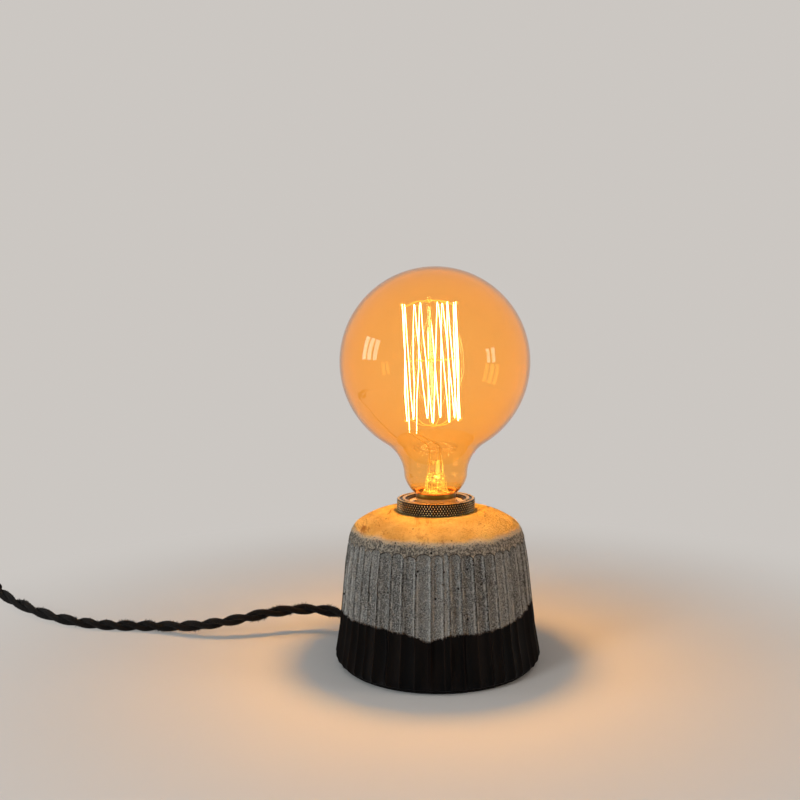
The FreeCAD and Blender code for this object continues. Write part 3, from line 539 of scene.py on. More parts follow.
baseSet = {
    "columns": 12, "depth": 2.15, "uneven": 0.3, "archDrop": 3.3, "topHeight": 83.7, "topUneven": 1.1, "meanWidth": 7.35,
    "bandTop": 88.5, "chatter": 0.3, "wander": 0.62, "crust": 0.34, "wobble": 0.10,
    "ridges": (-149.6, -142.5, -135.8, -128.8, -120.0, -112.4, -104.4, -95.4, -88.4, -85.0, -77.9, -69.7, -62.1, -54.7, -47.1,
               -41.0, -32.9, -25.4),
    "more": 31,
    "glaze": ((-163, 34.7), (-153, 34.7), (-145, 35.9), (-137, 36.7), (-128, 36.4), (-119, 36.2), (-112, 35.4),
              (-104, 33.8), (-100, 32.3), (-97, 31.2), (-93, 33.1), (-85, 35.3), (-77, 35.3), (-68, 34.9), (-62, 35.0),
              (-55, 35.4), (-49, 36.4), (-42, 37.2), (-37, 38.2), (-30, 38.4), (-22, 40.2), (0, 41.0), (30, 38.5),
              (60, 35.5), (90, 34.0), (120, 35.5), (150, 37.0), (180, 35.5), (197, 34.7)),
    "hole": (48.0, 6.2), "recess": (66.5, 7.4), "holeHeight": 14.5,
    "foot": ((64.6, 2.4), (66.2, 2.5), (67.3, 3.2), (68.0, 4.6), (68.3, 6.5)),
    "side": (((65.3, 24), 0, 7), ((62.9, 47), 0, 13), ((61.0, 66), 0, 7), ((59.6, 75), 0, 5), ((58.95, 79), 0, 5),
             ((58.3, 83), -0.05, 12), ((57.35, 86), -0.12, 9), ((56.2, 88.5), -0.12, 6), ((49.6, 94.6), -0.75, 9),
             ((27.2, 100.3), -1.9, 16)),
    "holder": ((22.0, 100.3), (20.6, 99.7), (20.6, 92.8), (28.0, 92.8)),
    "hollow": (((43.1, 90.8), -0.6, 4), ((51.3, 82.5), -1.6, 5), ((56.4, 47), 0.4, 5), ((61.6, 6.5), 0.4, 5)),
    "inside": ((0, 62.4), (2.5, 62.6), (6.5, 62.4), (47, 57.6), (82.5, 52.4), (90.8, 45), (93, 30), (101, 20.7)),
}


def fluteFacts():
    front = list(baseSet["ridges"])
    start, end, more = front[-1], front[0] + 360, baseSet["more"]
    dice = random.Random(5)
    step = (end - start) / (more + 1)
    turns = front + [start + step * (i + 1) + dice.uniform(-0.9, 0.9) for i in range(more)]
    tops = [baseSet["topHeight"] + dice.uniform(-1, 1) * baseSet["topUneven"] for _ in turns]
    depths = [baseSet["depth"] * (1 + dice.uniform(-1, 1) * baseSet["uneven"]) for _ in turns]
    tones = [dice.uniform(0, 1) for _ in turns]
    return turns + [turns[0] + 360], tops, depths, tones


def archHeight(top, u):
    return top - baseSet["archDrop"] * (1 - math.sqrt(max(0, 1 - (2 * u - 1) ** 2)))


def ridgeWave(ridge, z):  # degrees that a ridge strays from its line at this height
    return baseSet["wander"] * (stray(ridge * 3.1, z * 0.045, 1.0) + 0.5 * stray(ridge * 5.3, z * 0.15, 4.0))


def glazeLine(degrees, flute, u):
    drip = stray(flute * 1.7, 3.0, 0) * 0.9 - 1.1 * (1 - (2 * u - 1) ** 2) + 0.6
    return between(baseSet["glaze"], degrees) + drip + 0.5 * stray(degrees * 0.9, 7.0, 0)


def carveFlutes(piece, sides):
    turns, tops, depths, _ = fluteFacts()
    for vertex, x, y, z, radius in spots(piece):
        column = round((math.degrees(math.atan2(y, x)) % 360) / 360 * sides) % sides
        flute, step = divmod(column, baseSet["columns"])
        u = step / baseSet["columns"]
        low, high = turns[flute], turns[flute + 1]
        wave, nextWave = (ridgeWave(ridge % len(tops), z) for ridge in (flute, flute + 1))
        turn = math.radians((low + wave) * (1 - u) + (high + nextWave) * u)
        outside = z > 2.3 and radius > between(baseSet["inside"], z)
        if outside and z < 92:
            lean = 0.5 + 0.16 * math.sin(flute * 2.4)  # the gouge leans to one side
            across = 1 - ((u - lean) / (lean if u < lean else 1 - lean)) ** 2
            arch = archHeight(tops[flute], u)
            inside = clamp(arch - z)
            depth = depths[flute] * (high - low) / baseSet["meanWidth"] * max(across, 0.35 * inside * (z > 79)) * inside
            rough = 1 + 0.28 * stray(flute * 2.3, z * 0.06, u)
            radius -= depth * rough * clamp((z - 2.4) / 3, 0.25) * (1 - 0.25 * clamp((z - 72) / 10))
            grit = abs(stray(x * 0.9, y * 0.9, z * 1.3)) + 0.5 * abs(stray(x * 2, y * 2, z * 2.6))
            chatter = clamp((z - arch) / 0.6) * clamp((baseSet["bandTop"] - z) / 2.0)
            radius -= chatter * baseSet["chatter"] * (0.3 + grit)
        if outside and z > 86:
            crust = clamp((z - 87) / 1.5) * clamp((94.5 - z) / 3.5, 0.12)
            crumbs = stray(x * 0.8, y * 0.8, z * 0.8) + stray(x * 1.9, y * 1.9, z * 1.9) * 0.6
            radius += baseSet["crust"] * crust * crumbs
        if outside or z > 92.9 and radius > 21:
            radius += baseSet["wobble"] * stray(x * 0.16, y * 0.16, z * 0.12)
        vertex.co = (radius * math.cos(turn) * mm, radius * math.sin(turn) * mm, z * mm)


def markBase(piece):
    turns, tops, _, tones = fluteFacts()
    marks = {name: [] for name in ("glazeAbove", "ridgeOff", "archOff", "dome", "tone", "hollow")}
    for vertex, x, y, z, radius in spots(piece):
        degrees = math.degrees(math.atan2(y, x))
        around = (degrees - turns[0]) % 360 + turns[0]
        flute = max(k for k in range(len(tops)) if turns[k] <= around + 0.001)
        low, high = turns[flute], turns[flute + 1]
        u = (around - low) / (high - low)
        edge = 87.2 + 1.3 * stray(x * 0.12, y * 0.12, 0)
        # hollow runs from 0 at a ridge to 1 at the flute's centre; the look uses it for painted shade across each flute
        found = (z - glazeLine(degrees, flute, u), min(around - low, high - around) * math.radians(radius),
                 clamp(z - archHeight(tops[flute], u), -5, 5), clamp((z - edge) / 5.5), tones[flute], 1 - (2 * u - 1) ** 2)
        for values, value in zip(marks.values(), found):
            values.append(value)
    mark(piece, **marks)


def stonewareLook():
    look = Look("dippedStoneware", SpecularIORLevel=0.07)
    ragged = look.grain(380, 4, 0.75)
    strokes = look.grain(300, 3, 0.6, look.place((1, 1, 0.07)))
    line = look.trait("glazeAbove") + ragged * 4.6 + strokes * 2.4 - 3.5
    bare = line.ramp(-0.2, 0.2)
    rim = line.ramp(-0.3, 0.1) * line.ramp(1.3, 0.25)
    ridgeOff, archOff, dome = (look.trait(name) for name in ("ridgeOff", "archOff", "dome"))
    below = archOff.ramp(0.5, -0.1)
    band = 1 - below
    clouds = look.grain(45, 3, 0.55)
    grit = look.grain(1150, 3, 0.75)
    dust = look.grain(1900, 2, 0.6)
    # clouds, per-flute tone and strokes vary the clay; hollow adds painted shade, lighter at each flute's centre and
    # darker towards its ridges
    light = clouds * 0.5 + look.trait("tone") * 0.6 + look.trait("hollow") * 0.25 + strokes * 0.7 - 0.52
    broken = look.grain(170, 4, 0.75).ramp(0.38, 0.6)
    # painted highlight: a pale strip beside each ridge
    paintedRidgeHighlight = ridgeOff.ramp(0.5, 1.0) * ridgeOff.ramp(2.0, 1.1) * below * broken * 0.7
    # dark lines along the ridges, partly drawn clay lines and partly painted shade; painted shadow under the arch tops
    # of the flutes
    linesAndPaintedShade = (ridgeOff.ramp(0.6, 0.1) * below * 0.8).most(archOff.ramp(-1.2, -0.3) * archOff.ramp(0.5, 0.0))
    clay = look.layered(
        look.tones(light.ramp(0.1, 0.85), (58, 58, 57), (126, 125, 121)), (grit.ramp(0.46, 0.6) * 0.66, (184, 182, 177)),
        (dust.ramp(0.52, 0.62) * 0.85, (32, 30, 29)), (paintedRidgeHighlight, (182, 180, 174)), (linesAndPaintedShade * (broken * 0.75 + 0.15), (40, 33, 30)))
    mottle = look.grain(700, 4, 0.75).ramp(0.42, 0.58)
    clay = look.mixed(band * 0.85, clay, look.tones(mottle, (96, 88, 80), (204, 190, 170)))
    crumbs = look.grain(800, 3, 0.8)
    edge = dome.ramp(0.0, 0.25) * dome.ramp(1.0, 0.55)
    scratches = look.grain(190, 4, 0.7, look.place((1, 0.13, 1), (0, 0, 0.85)), 0.3)
    where = look.grain(18, 2).ramp(0.42, 0.58)
    # dome colour: partly buff clay and partly painted warm bulb light, which pushes it towards orange; paler at the
    # dome's lower edge
    sandyAndPaintedGlow = look.layered(
        look.tones(look.grain(70, 4, 0.65).ramp(0.35, 0.7), (216, 173, 99), (236, 202, 126)),
        (dome.ramp(0.95, 0.35) * 0.9, (238, 222, 196)), (crumbs.ramp(0.53, 0.64) * (edge * 0.3 + 0.32), (140, 98, 58)),
        (scratches.ramp(0.53, 0.64) * where * 0.75, (146, 84, 38)))
    spread = (dome * 1.9 + (crumbs - 0.5) * 4.0).ramp(0.3, 0.75) * dome.ramp(0.0, 0.12)
    specks = 1 - look.add("TexVoronoi", {"Vector": look.place(), "Scale": 150}, "Distance").ramp(0.07, 0.14)
    pits = specks * look.grain(25, 2).ramp(0.46, 0.56)
    clay = look.layered(look.mixed(spread, clay, sandyAndPaintedGlow), (pits * 0.95, (18, 15, 14)), (rim * 0.85, (50, 34, 26)))
    drips = look.grain(90, 3, 0.5, look.place((1, 1, 0.1)))
    glaze = look.layered(look.tones(drips.ramp(0.4, 0.66), (6, 6, 7), (15, 11, 10)), (ridgeOff.ramp(0.7, 0.1) * 0.6, (28, 19, 15)))
    lift = grit * 0.8 + dust * 0.5 + strokes * 0.6 - pits * 1.2 + band * mottle * 1.2 + (edge + 0.2) * crumbs * 2.8
    gloss = look.grain(170, 3) * 0.25 + drips * 0.3
    height = bare * (lift * 0.8 + 0.6) + (1 - bare) * gloss
    look.set(BaseColor=look.mixed(bare, glaze, clay), Roughness=0.42 + bare * 0.5, Normal=look.bumped(height, 0.0006, 0.9))
    return look


def makeBase():
    s = baseSet
    sides = (len(s["ridges"]) + s["more"]) * s["columns"]
    profile = [*s["foot"], *chained(s["foot"][-1], *s["side"]), *s["holder"], *chained(s["holder"][-1], *s["hollow"]), (62.0, 2.4)]
    piece = turnedPiece("stonewareBase", sides, profile)
    carveFlutes(piece, sides)
    way = Vector((math.cos(exitTurn), math.sin(exitTurn), 0))
    for start, radius in (s["hole"], s["recess"]):
        clearSelection()
        bpy.ops.mesh.primitive_cylinder_add(vertices=48, radius=radius * mm, depth=30 * mm)
        cutter = bpy.context.object
        cutter.data.transform(Matrix.Translation((0, 0, 15 * mm)))
        place = Matrix.Translation(way * start * mm + Vector((0, 0, s["holeHeight"] * mm)))
        cutter.matrix_world = place @ way.to_track_quat("Z", "Y").to_matrix().to_4x4()
        bpy.context.view_layer.update()
        cutAway(piece, cutter)
    markBase(piece)
    dress(piece, stonewareLook(), "root", ["ceramic_base"], 32)


makeBase()
print("base turned and fluted")


# Felt pad

padSet = {"radius": 64.5, "thickness": 2.4, "sides": 240, "lowest": 0.03, "fuzz": 0.004}


def makePad():
    r, t, low = padSet["radius"], padSet["thickness"], padSet["lowest"]
    profile = [(0, low), (r * 0.5, low), (r - 1.2, low), (r - 0.4, 0.25), (r, 0.8)]
    profile += near(r, t, (0, -0.7), (-0.5, -0.1), (-1.4, 0)) + [(r * 0.5, t), (0, t)]
    piece = turnedPiece("feltPad", padSet["sides"], profile, closed=False)
    for vertex, x, y, z, radius in spots(piece):
        if radius > r - 2:
            narrow(vertex, 1 - padSet["fuzz"] * abs(stray(x * 1.1, y * 1.1, z * 2)))
    look = Look("pressedFelt", Roughness=0.98, SpecularIORLevel=0.1)
    fibres = look.grain(1400, 4, 0.7)
    look.set(BaseColor=look.tones(fibres.ramp(0.35, 0.7), (14, 13, 13), (36, 34, 33)), Normal=look.bumped(fibres, 0.0003))
    dress(piece, look, "root", ["base_pad"], 60)


makePad()


# Knurled ring

ringSet = {
    "radius": 25.95, "bottom": 100.32, "top": 108.7, "height": 8.4, "chamfer": 0.75, "bore": 20.1, "lip": 22.3, "groove": 24.0,
    "grooveDepth": 0.8, "diamond": (1.85, 2.9), "knurlDepth": 0.46, "knurlSteps": 6,
}


def makeRing():
    s = ringSet
    names = ("bottom", "top", "radius", "bore", "lip", "groove", "chamfer", "knurlSteps")
    low, top, edge, bore, lip, groove, chamfer, steps = (s[name] for name in names)
    columns = steps * round(2 * math.pi * edge / s["diamond"][0])
    rowStep = s["diamond"][1] / steps
    rows = int((s["height"] - 2 * chamfer - 0.5) / rowStep)
    first = (low + top) / 2 - rows * rowStep / 2
    profile = [(bore, low + 0.5), (bore + 0.5, low)] + near(edge, low, (-1.5, 0), (-0.5, 0.45), (-0.1, 0.85))
    profile += [(edge, first + rowStep * i) for i in range(rows + 1)]
    profile += near(edge, top, (-0.05, -chamfer), (-0.3, -0.32), (-chamfer, -0.06), (-chamfer - 0.4, 0))
    profile += near(groove, top, (0.15, 0), (0, -0.15), (-0.1, -s["grooveDepth"]))
    profile += near(lip, top, (0.1, -s["grooveDepth"]), (0, -0.15), (-0.15, 0)) + near(bore, top, (0.5, 0), (0, -0.5))
    piece = turnedPiece("knurledRing", columns, profile)
    knurl, polish = [], []
    for vertex, x, y, z, radius in spots(piece):
        cut = 0.5
        if radius > edge - 0.02 and first - 0.01 <= z <= first + rows * rowStep + 0.01:
            across = round((math.degrees(math.atan2(y, x)) % 360) / 360 * columns) / steps
            up = round((z - first) / rowStep) / steps
            cut = 2 * max(abs((across + up) % 1 - 0.5), abs((across - up) % 1 - 0.5))
            narrow(vertex, (radius - s["knurlDepth"] * cut) / radius)
        knurl.append(1 - cut)
        # rims, groove edges and the lip's top are marked for brighter colour: partly polished brass, partly painted
        # highlight
        nearest = min(math.hypot(radius - r, z - top) for r in (edge - chamfer, groove, lip, bore + 0.3))
        polish.append(float(nearest < 0.42 or z > top - 0.4 and radius < lip + 0.1))
    mark(piece, knurl=knurl, polish=polish)
    look = Look("antiqueBrass", Metallic=0.88)
    wear = look.grain(95, 4, 0.6)
    fine = look.grain(700, 3, 0.6)
    peaks, rimPolishAndHighlight = look.trait("knurl"), look.trait("polish")
    # near black in the knurl grooves; knurl peaks whitish, partly rubbed brass and partly painted glint; rims and lips
    # brighter, partly polish and partly painted highlight
    colour = look.layered(
        look.tones(wear.ramp(0.35, 0.68), (30, 21, 11), (50, 35, 18)), (peaks.ramp(0.42, 0.1), (7, 5, 4)),
        (peaks.ramp(0.5, 0.74) * 0.9, (238, 206, 146)), (rimPolishAndHighlight * (0.6 + wear * 0.5), (238, 190, 112)),
        (fine.ramp(0.55, 0.75) * 0.3, (38, 28, 20)))
    look.set(BaseColor=colour, Roughness=0.2 + wear * 0.16, Normal=look.bumped(fine, 0.00005, 0.5))
    dress(piece, look, "ring", ["shade_ring"], 20)


makeRing()
print("ring knurled")


# Holder sleeve with its thread

sleeveSet = {"radius": 20.0, "wall": 1.6, "bottom": 65.9, "top": 107.9, "pitch": 2.0, "threadDepth": 0.55, "lead": 0.7}


def threaded(piece, radius, pitch, depth, low, high):
    for vertex, x, y, z, here in spots(piece):
        if abs(here - radius) < 0.06 and low < z < high:
            turn = math.atan2(y, x) / (2 * math.pi)
            wave = 0.5 - 0.5 * math.cos(2 * math.pi * (z / pitch - turn))
            ease = min(1, (z - low) / pitch, (high - z) / pitch)
            narrow(vertex, (here - depth * wave * max(0, ease)) / here)


def makeSleeve():
    s = sleeveSet
    r, low, top, lead = s["radius"], s["bottom"], s["top"], s["lead"]
    bore = r - s["wall"]
    steps = int((top - low - 1.4) / (s["pitch"] / 6))
    profile = near(bore, low, (0, 0.2), (0.2, 0)) + near(r, low, (-0.4, 0), (0, lead))
    profile += [(r, low + lead + (top - low - 2 * lead) * i / steps) for i in range(1, steps + 1)]
    profile += near(r, top, (-0.25, -0.25), (-0.6, 0)) + near(bore, top, (0.45, 0), (0.1, -0.2), (0, -0.6))
    piece = turnedPiece("holderSleeve", 96, profile)
    threaded(piece, r, s["pitch"], s["threadDepth"], low + 1.2, top - 1.4)
    look = Look("holderResin")
    marks = look.grain(260, 3)
    look.finish(look.tones(marks, (34, 28, 23), (52, 42, 33)), marks, 0.42, 0.15, 0.00005)
    dress(piece, look, "root", ["holder_sleeve"], 40)
    return look


resinLook = makeSleeve()


# Finishes of the pieces that keep their solids

solidSet = {  # whether metal, dark tone, light tone, roughness, grain, and the solids
    "brightBrass": (True, (188, 146, 74), (214, 176, 104), 0.24, 500, "screw_shell tip_spring terminal_blocks switch_contacts"),
    "zincedSteel": (True, (150, 150, 150), (188, 187, 184), 0.3, 500,
                    "terminal_screws grip_screw rocker_pin switch_screws plug_screw"),
    "nickelPins": (True, (176, 172, 162), (206, 202, 192), 0.2, 500, "plug_pins"),
    "softSolder": (True, (150, 150, 152), (190, 190, 190), 0.42, 300, "bulb_tip_contact"),
    "blackRubber": (False, (20, 20, 20), (32, 31, 31), 0.72, 900, "cord_grommet"),
    "coreSleeve": (False, (110, 62, 38), (132, 80, 50), 0.45, 900, "core_wires"),
    "blackGlass": (False, (14, 14, 18), (26, 26, 32), 0.1, 900, "bulb_insulator"),
    "blackPlastic": (False, (22, 22, 22), (32, 31, 31), 0.28, 900, "switch_base switch_cover plug_lower plug_upper"),
    "rockerPlastic": (False, (26, 26, 26), (38, 37, 37), 0.22, 900, "switch_rocker"),
}


def plainLook(name, metal, dark, light, rough, scale=500):
    look = Look(name, Metallic=1.0 if metal else 0.0)
    marks = look.grain(scale, *((3, 0.6) if metal else (2, 0.5)))
    look.finish(look.tones(marks, dark, light), marks, rough, *((0.15, 0.00004, 0.5) if metal else (0.12, 0.00006, 0.6)))
    return look


def coatSolids():
    looks = {}
    for name, (*facts, nodes) in solidSet.items():
        looks[name] = plainLook(name, *facts)
        for node in nodes.split():
            coat(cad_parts[node], looks[name])
    for node in ("clamp_ring", "holder_cap", "cord_grip"):
        coat(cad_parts[node], resinLook)
    return looks


solidLooks = coatSolids()


# Porcelain insert of the holder

insertSet = {"low": 65.9, "flange": 17.8, "flangeTop": 70.9, "body": 16.35, "bore": 14.15, "floor": 84.75, "under": 103.4,
             "rim": 18.15, "top": 106.7, "well": 1.4, "wellApart": 5.5}


def makeInsert():
    s = insertSet
    names = ("flange", "body", "bore", "rim", "low", "flangeTop", "under", "top", "floor")
    flange, body, bore, rim, low, shelf, under, top, floor = (s[name] for name in names)
    profile = [(0, low)] + near(flange, low, (-0.5, 0), (0, 0.5)) + near(flange, shelf, (0, -0.4), (-0.4, 0))
    profile += near(body, shelf, (0.5, 0), (0, 0.5)) + near(body, under, (0, -1.2), (0.4, -0.4))
    profile += near(rim, under, (-0.5, 0), (0, 0.5)) + near(rim, top, (0, -0.7), (-0.25, -0.2), (-0.8, 0))
    profile += near(bore, top, (1.0, 0), (0.3, -0.3), (0, -1.0)) + near(bore, floor, (0, 0.5), (-0.5, 0)) + [(0, floor)]
    piece = turnedPiece("porcelainInsert", 96, profile, closed=False)
    for side in (-1, 1):
        clearSelection()
        middle = ((s["wellApart"] * side) * mm, 0, floor * mm)
        bpy.ops.mesh.primitive_cylinder_add(vertices=24, radius=s["well"] * mm, depth=60 * mm, location=middle)
        cutAway(piece, bpy.context.object)
    look = Look("glazedPorcelain", CoatWeight=0.6, CoatRoughness=0.12)
    ripple = look.grain(120, 2)
    # tan rather than white: partly glazed porcelain and partly painted warm light
    look.finish(look.tones(ripple, (196, 162, 112), (216, 184, 134)), ripple, 0.3, 0.1, 0.0001, 0.4)
    dress(piece, look, "root", ["holder_insert"], 40)


makeInsert()
print("holder dressed")


# Bulb: globe and cap

bulbSet = {
    "radius": 62.5, "height": 198.6, "glass": 0.9, "neckRadius": 20.8, "neckHeight": 123.5, "jointRadius": 14.2,
    "joint": 112.6, "sides": 160, "collar": 13.3, "collarHeight": 6.2, "screw": 13.05, "screwLength": 14.6, "sheet": 0.4,
    "pitch": 3.62, "threadDepth": 0.85, "glassFoot": 109.5, "glassFootRadius": 12.6,
    "amber": (0.985, 0.67, 0.0), "density": 520.0, "rimTint": (0.12, 0.06, 0.03), "lacquerFrom": (0.1088, 0.1096),
}


def glassProfile(inset):  # crown to joint
    s = bulbSet
    drop = s["height"] - s["neckHeight"]
    fillet = (drop ** 2 - s["radius"] ** 2 + s["neckRadius"] ** 2) / (2 * (s["radius"] - s["neckRadius"]))
    centre = (s["neckRadius"] + fillet, s["neckHeight"])
    down = math.degrees(math.atan2(-drop, centre[0]))
    end = (s["jointRadius"] - inset, s["joint"] + inset * 0.6)
    points = swung((0, s["height"]), s["radius"] - inset, 90, down, 62)
    points += swung(centre, fillet + inset, down + 180, 180, 16)[1:]
    return points + bowed((s["neckRadius"] - inset, s["neckHeight"]), end, 1.1, 8)


def glassLook(name, tint, through, edge=0.0):
    look = Look(name, Roughness=0.0, TransmissionWeight=through, IOR=1.45)
    waves = look.grain(34, 2, 0.4)
    body = look.mixed(waves.ramp(0.3, 0.7) * 0.25, tint, tuple(c * 0.93 for c in tint))
    facing = look.add("LayerWeight", {"Blend": 0.5}, "Facing")
    grazing = facing.ramp(0.7, 0.9).most(facing.ramp(0.3, 0.85) * 0.1)
    deep = tuple(c * share for c, share in zip(tint, bulbSet["rimTint"]))
    look.set(BaseColor=look.mixed(grazing * edge, body, deep), Normal=look.bumped(waves, 0.0012, 0.12))
    return look


def makeGlobe():
    s = bulbSet
    foot, low = s["glassFootRadius"], s["glassFoot"]
    inner = glassProfile(s["glass"]) + [(foot - s["glass"], s["joint"] + 0.4)]
    profile = glassProfile(0) + [(foot, s["joint"] - 0.1), (foot, low + 0.3), (foot - 0.3, low), (foot - s["glass"], low + 0.2)]
    piece = turnedPiece("amberGlobe", s["sides"], profile + inner[::-1], closed=False)
    look = glassLook("amberGlass", (0.99, 0.82, 0.52), 0.987, 0.9)
    # painted glow: faint orange emission over the whole globe
    look.set(EmissionColor=(1.0, 0.40, 0.04), EmissionStrength=0.03)
    look.output("Volume", look.add("VolumeAbsorption", {"Color": s["amber"], "Density": s["density"]}, "Volume"))
    dress(piece, look, "bulb", ["bulb_globe"], 60)
    piece.visible_shadow = False


def makeCap():
    s = bulbSet
    foot, joint = s["joint"] - s["collarHeight"], s["joint"]
    bottom = foot - s["screwLength"]
    r, c, t = s["screw"], s["collar"], s["sheet"]
    rows = int(s["screwLength"] / (s["pitch"] / 10))
    profile = [(c - t, joint)] + near(c, joint, (-0.15, 0.05), (0, -0.15)) + near(c, foot, (0, 0.9), (-0.35, 0.35))
    profile += [(r - 0.1, foot)] + [(r, foot - 0.2 - (s["screwLength"] - 0.5) * i / rows) for i in range(rows + 1)]
    profile += [(r - 0.2, bottom), (r - t - 0.9, bottom), (r - t - 0.95, bottom + 0.4), (r - t - 0.95, foot - 0.4)]
    piece = turnedPiece("bulbCap", 96, profile + [(c - t, foot + 0.6)])
    threaded(piece, r, s["pitch"], s["threadDepth"], bottom + 0.2, foot - 0.1)
    look = Look("lacqueredBrass")
    marks = look.grain(500, 3, 0.6)
    # dark lacquered brass above about 109 mm; below it lighter and half metal, partly bare brass and partly painted
    # light
    lacquered = look.add("SeparateXYZ", {"Vector": look.place()}, "Z").ramp(*s["lacquerFrom"])
    bare, lacquer = look.tones(marks, (222, 178, 102), (246, 206, 130)), look.tones(marks, (106, 76, 24), (142, 104, 40))
    look.finish(look.mixed(lacquered, bare, lacquer), marks, 0.26, 0.15, 0.00004, 0.5)
    look.set(Metallic=lacquered * 0.5 + 0.5)
    dress(piece, look, "bulb", ["bulb_cap"], 40)
    # cement bead at the glass foot, given painted glow: orange emission
    bead = near(c, joint, (-0.9, 0.05), (0.15, 0.05), (0.55, 0.3), (0.5, 0.75), (-0.2, 0.9), (-0.9, 0.5))
    paintedGlow = Look("litCement", Roughness=0.5, EmissionColor=(1.0, 0.24, 0.04), EmissionStrength=1.1)
    paintedGlow.set(BaseColor=paintedGlow.tones(paintedGlow.grain(300, 2), (214, 96, 30), (236, 130, 48)))
    dress(turnedPiece("jointRim", 96, bead), paintedGlow, "bulb", (), 60)


# Bulb: stem, cage filament and its wires

stemSet = {"lean": 1.7, "pressHeight": 123.5, "foot": 109.6, "rim": 11.4, "tube": 7.2, "press": (10.5, 4.2), "pressTop": 134.0,
           "glass": 0.9}
cageSet = {
    "radius": 17.6, "top": 237.3, "bottom": 160.0, "middle": 199.9, "legFoot": 153.5, "hooks": 10, "middleHooks": 5,
    "firstLeg": 204.0, "lastLeg": 232.0, "wire": 0.19, "hookWire": 0.24, "leadWire": 0.34, "stray": 5.0, "rod": 1.2,
    "rodTop": 241.0, "button": 2.3, "buttonHeight": 3.2, "leadApart": 3.4,
}


def leaned(point):
    x, y, z = point
    turn = math.radians(-stemSet["lean"])
    up = z - stemSet["pressHeight"]
    return (x * math.cos(turn) + up * math.sin(turn), y, stemSet["pressHeight"] - x * math.sin(turn) + up * math.cos(turn))


def onCage(degrees, height, radius=cageSet["radius"]):
    turn = math.radians(degrees)
    return (radius * math.cos(turn), radius * math.sin(turn), height)


def cageTips():
    s = cageSet
    span, last = 360 - (s["lastLeg"] - s["firstLeg"]), 2 * s["hooks"]
    dice = random.Random(11)
    tips = []
    for i in range(last + 1):
        height = s["legFoot"] if i in (0, last) else s["top"] if i % 2 else s["bottom"]
        tips.append((s["firstLeg"] - span * i / last + dice.uniform(-1, 1) * s["stray"], height))
    return tips


def makeFilament():
    s = cageSet
    dice = random.Random(3)
    strand = []
    tips = cageTips()
    for i, (degrees, height) in enumerate(tips):
        way = 1 if i % 2 else -1
        bends = ((0, 0),) if i in (0, len(tips) - 1) else ((1.5, 1.3), (0.6, 0.1), (-0.6, 0.1), (-1.5, 1.3))
        strand += [leaned(onCage(degrees + turn, height - way * drop)) for turn, drop in bends]
    bent = [strand[0]]
    for a, b in zip(strand, strand[1:]):
        if math.dist(a, b) > 20:
            for t in (0.25, 0.5, 0.75):
                push, slip = 1 + dice.uniform(-0.03, 0.04), dice.uniform(-0.35, 0.35)
                x, y, z = (a[k] + (b[k] - a[k]) * t for k in range(3))
                bent.append((x * push - y * slip / s["radius"], y * push + x * slip / s["radius"], z))
        bent.append(b)
    piece = wirePiece("filament", [bent], s["wire"])
    look = Look("litFilament", Roughness=0.6, EmissionStrength=14.0)
    heat = look.grain(160, 2)
    look.set(BaseColor=look.tones(heat, (255, 190, 90), (255, 214, 130)))
    look.set(EmissionColor=look.mixed(heat.ramp(0.35, 0.65), (1.0, 0.80, 0.62), (1.0, 0.90, 0.82)))
    dress(piece, look, "bulb", ["bulb_filament"], 60)


def wireLook(name, glow):
    look = plainLook(name, True, (190, 150, 84), (226, 186, 116), 0.3)
    look.set(EmissionColor=(1.0, 0.58, 0.12), EmissionStrength=glow)
    return look


def makeHooks():
    s = cageSet
    r, tips = s["radius"], cageTips()
    middles = [(s["firstLeg"] + 360 * (i + 0.5) / s["middleHooks"], s["middle"]) for i in range(s["middleHooks"])]
    look = wireLook("hookWire", 1.0)
    for place, hub, ends, side in (("top", s["top"] + s["buttonHeight"] / 2, tips[1::2], 1),
                                   ("bottom", s["bottom"] - s["buttonHeight"], tips[2:-1:2], -1),
                                   ("middle", s["middle"], middles, 0)):
        strands = []
        for degrees, height in ends:
            line = [(0, hub, 0.8), (0, hub + 0.5 * side, r * 0.45)]
            if side:
                line += [(0, height - 0.9 * side, r * 0.8), (0, height - 1.5 * side, r + 0.7)]
                line += [(0, height - 0.7 * side, r + 2.0), (0, height + 0.4 * side, r + 0.6)]
            else:
                line += [(0, hub, r - 1.2), (-3, hub + 0.7, r + 0.1), (0, hub + 1.1, r + 0.6), (3, hub + 0.5, r)]
            strands.append([leaned(onCage(degrees + turn, up, reach)) for turn, up, reach in line])
        piece = wirePiece(f"{place}Hooks", strands, s["hookWire"], smooth=True)
        dress(piece, look, "bulb", [f"bulb_{place}_hooks"], 60)
    strands = []
    for side, (degrees, height) in ((-1, tips[0]), (1, tips[-1])):
        end, apart = onCage(degrees, height), side * s["leadApart"]
        halfway = tuple((a + b) / 2 for a, b in zip((apart, 0, 143), end))
        line = [(apart, 0, stemSet["pressTop"] - 3), (apart, 0, 140), (side * 3.6, -0.6, 143.5), halfway, end]
        strands.append([leaned(point) for point in line + [(end[0], end[1], end[2] + 1.4)]])
    piece = wirePiece("leadWires", strands, s["leadWire"], smooth=True)
    dress(piece, wireLook("leadWire", 0.3), "bulb", ["bulb_leads"], 60)


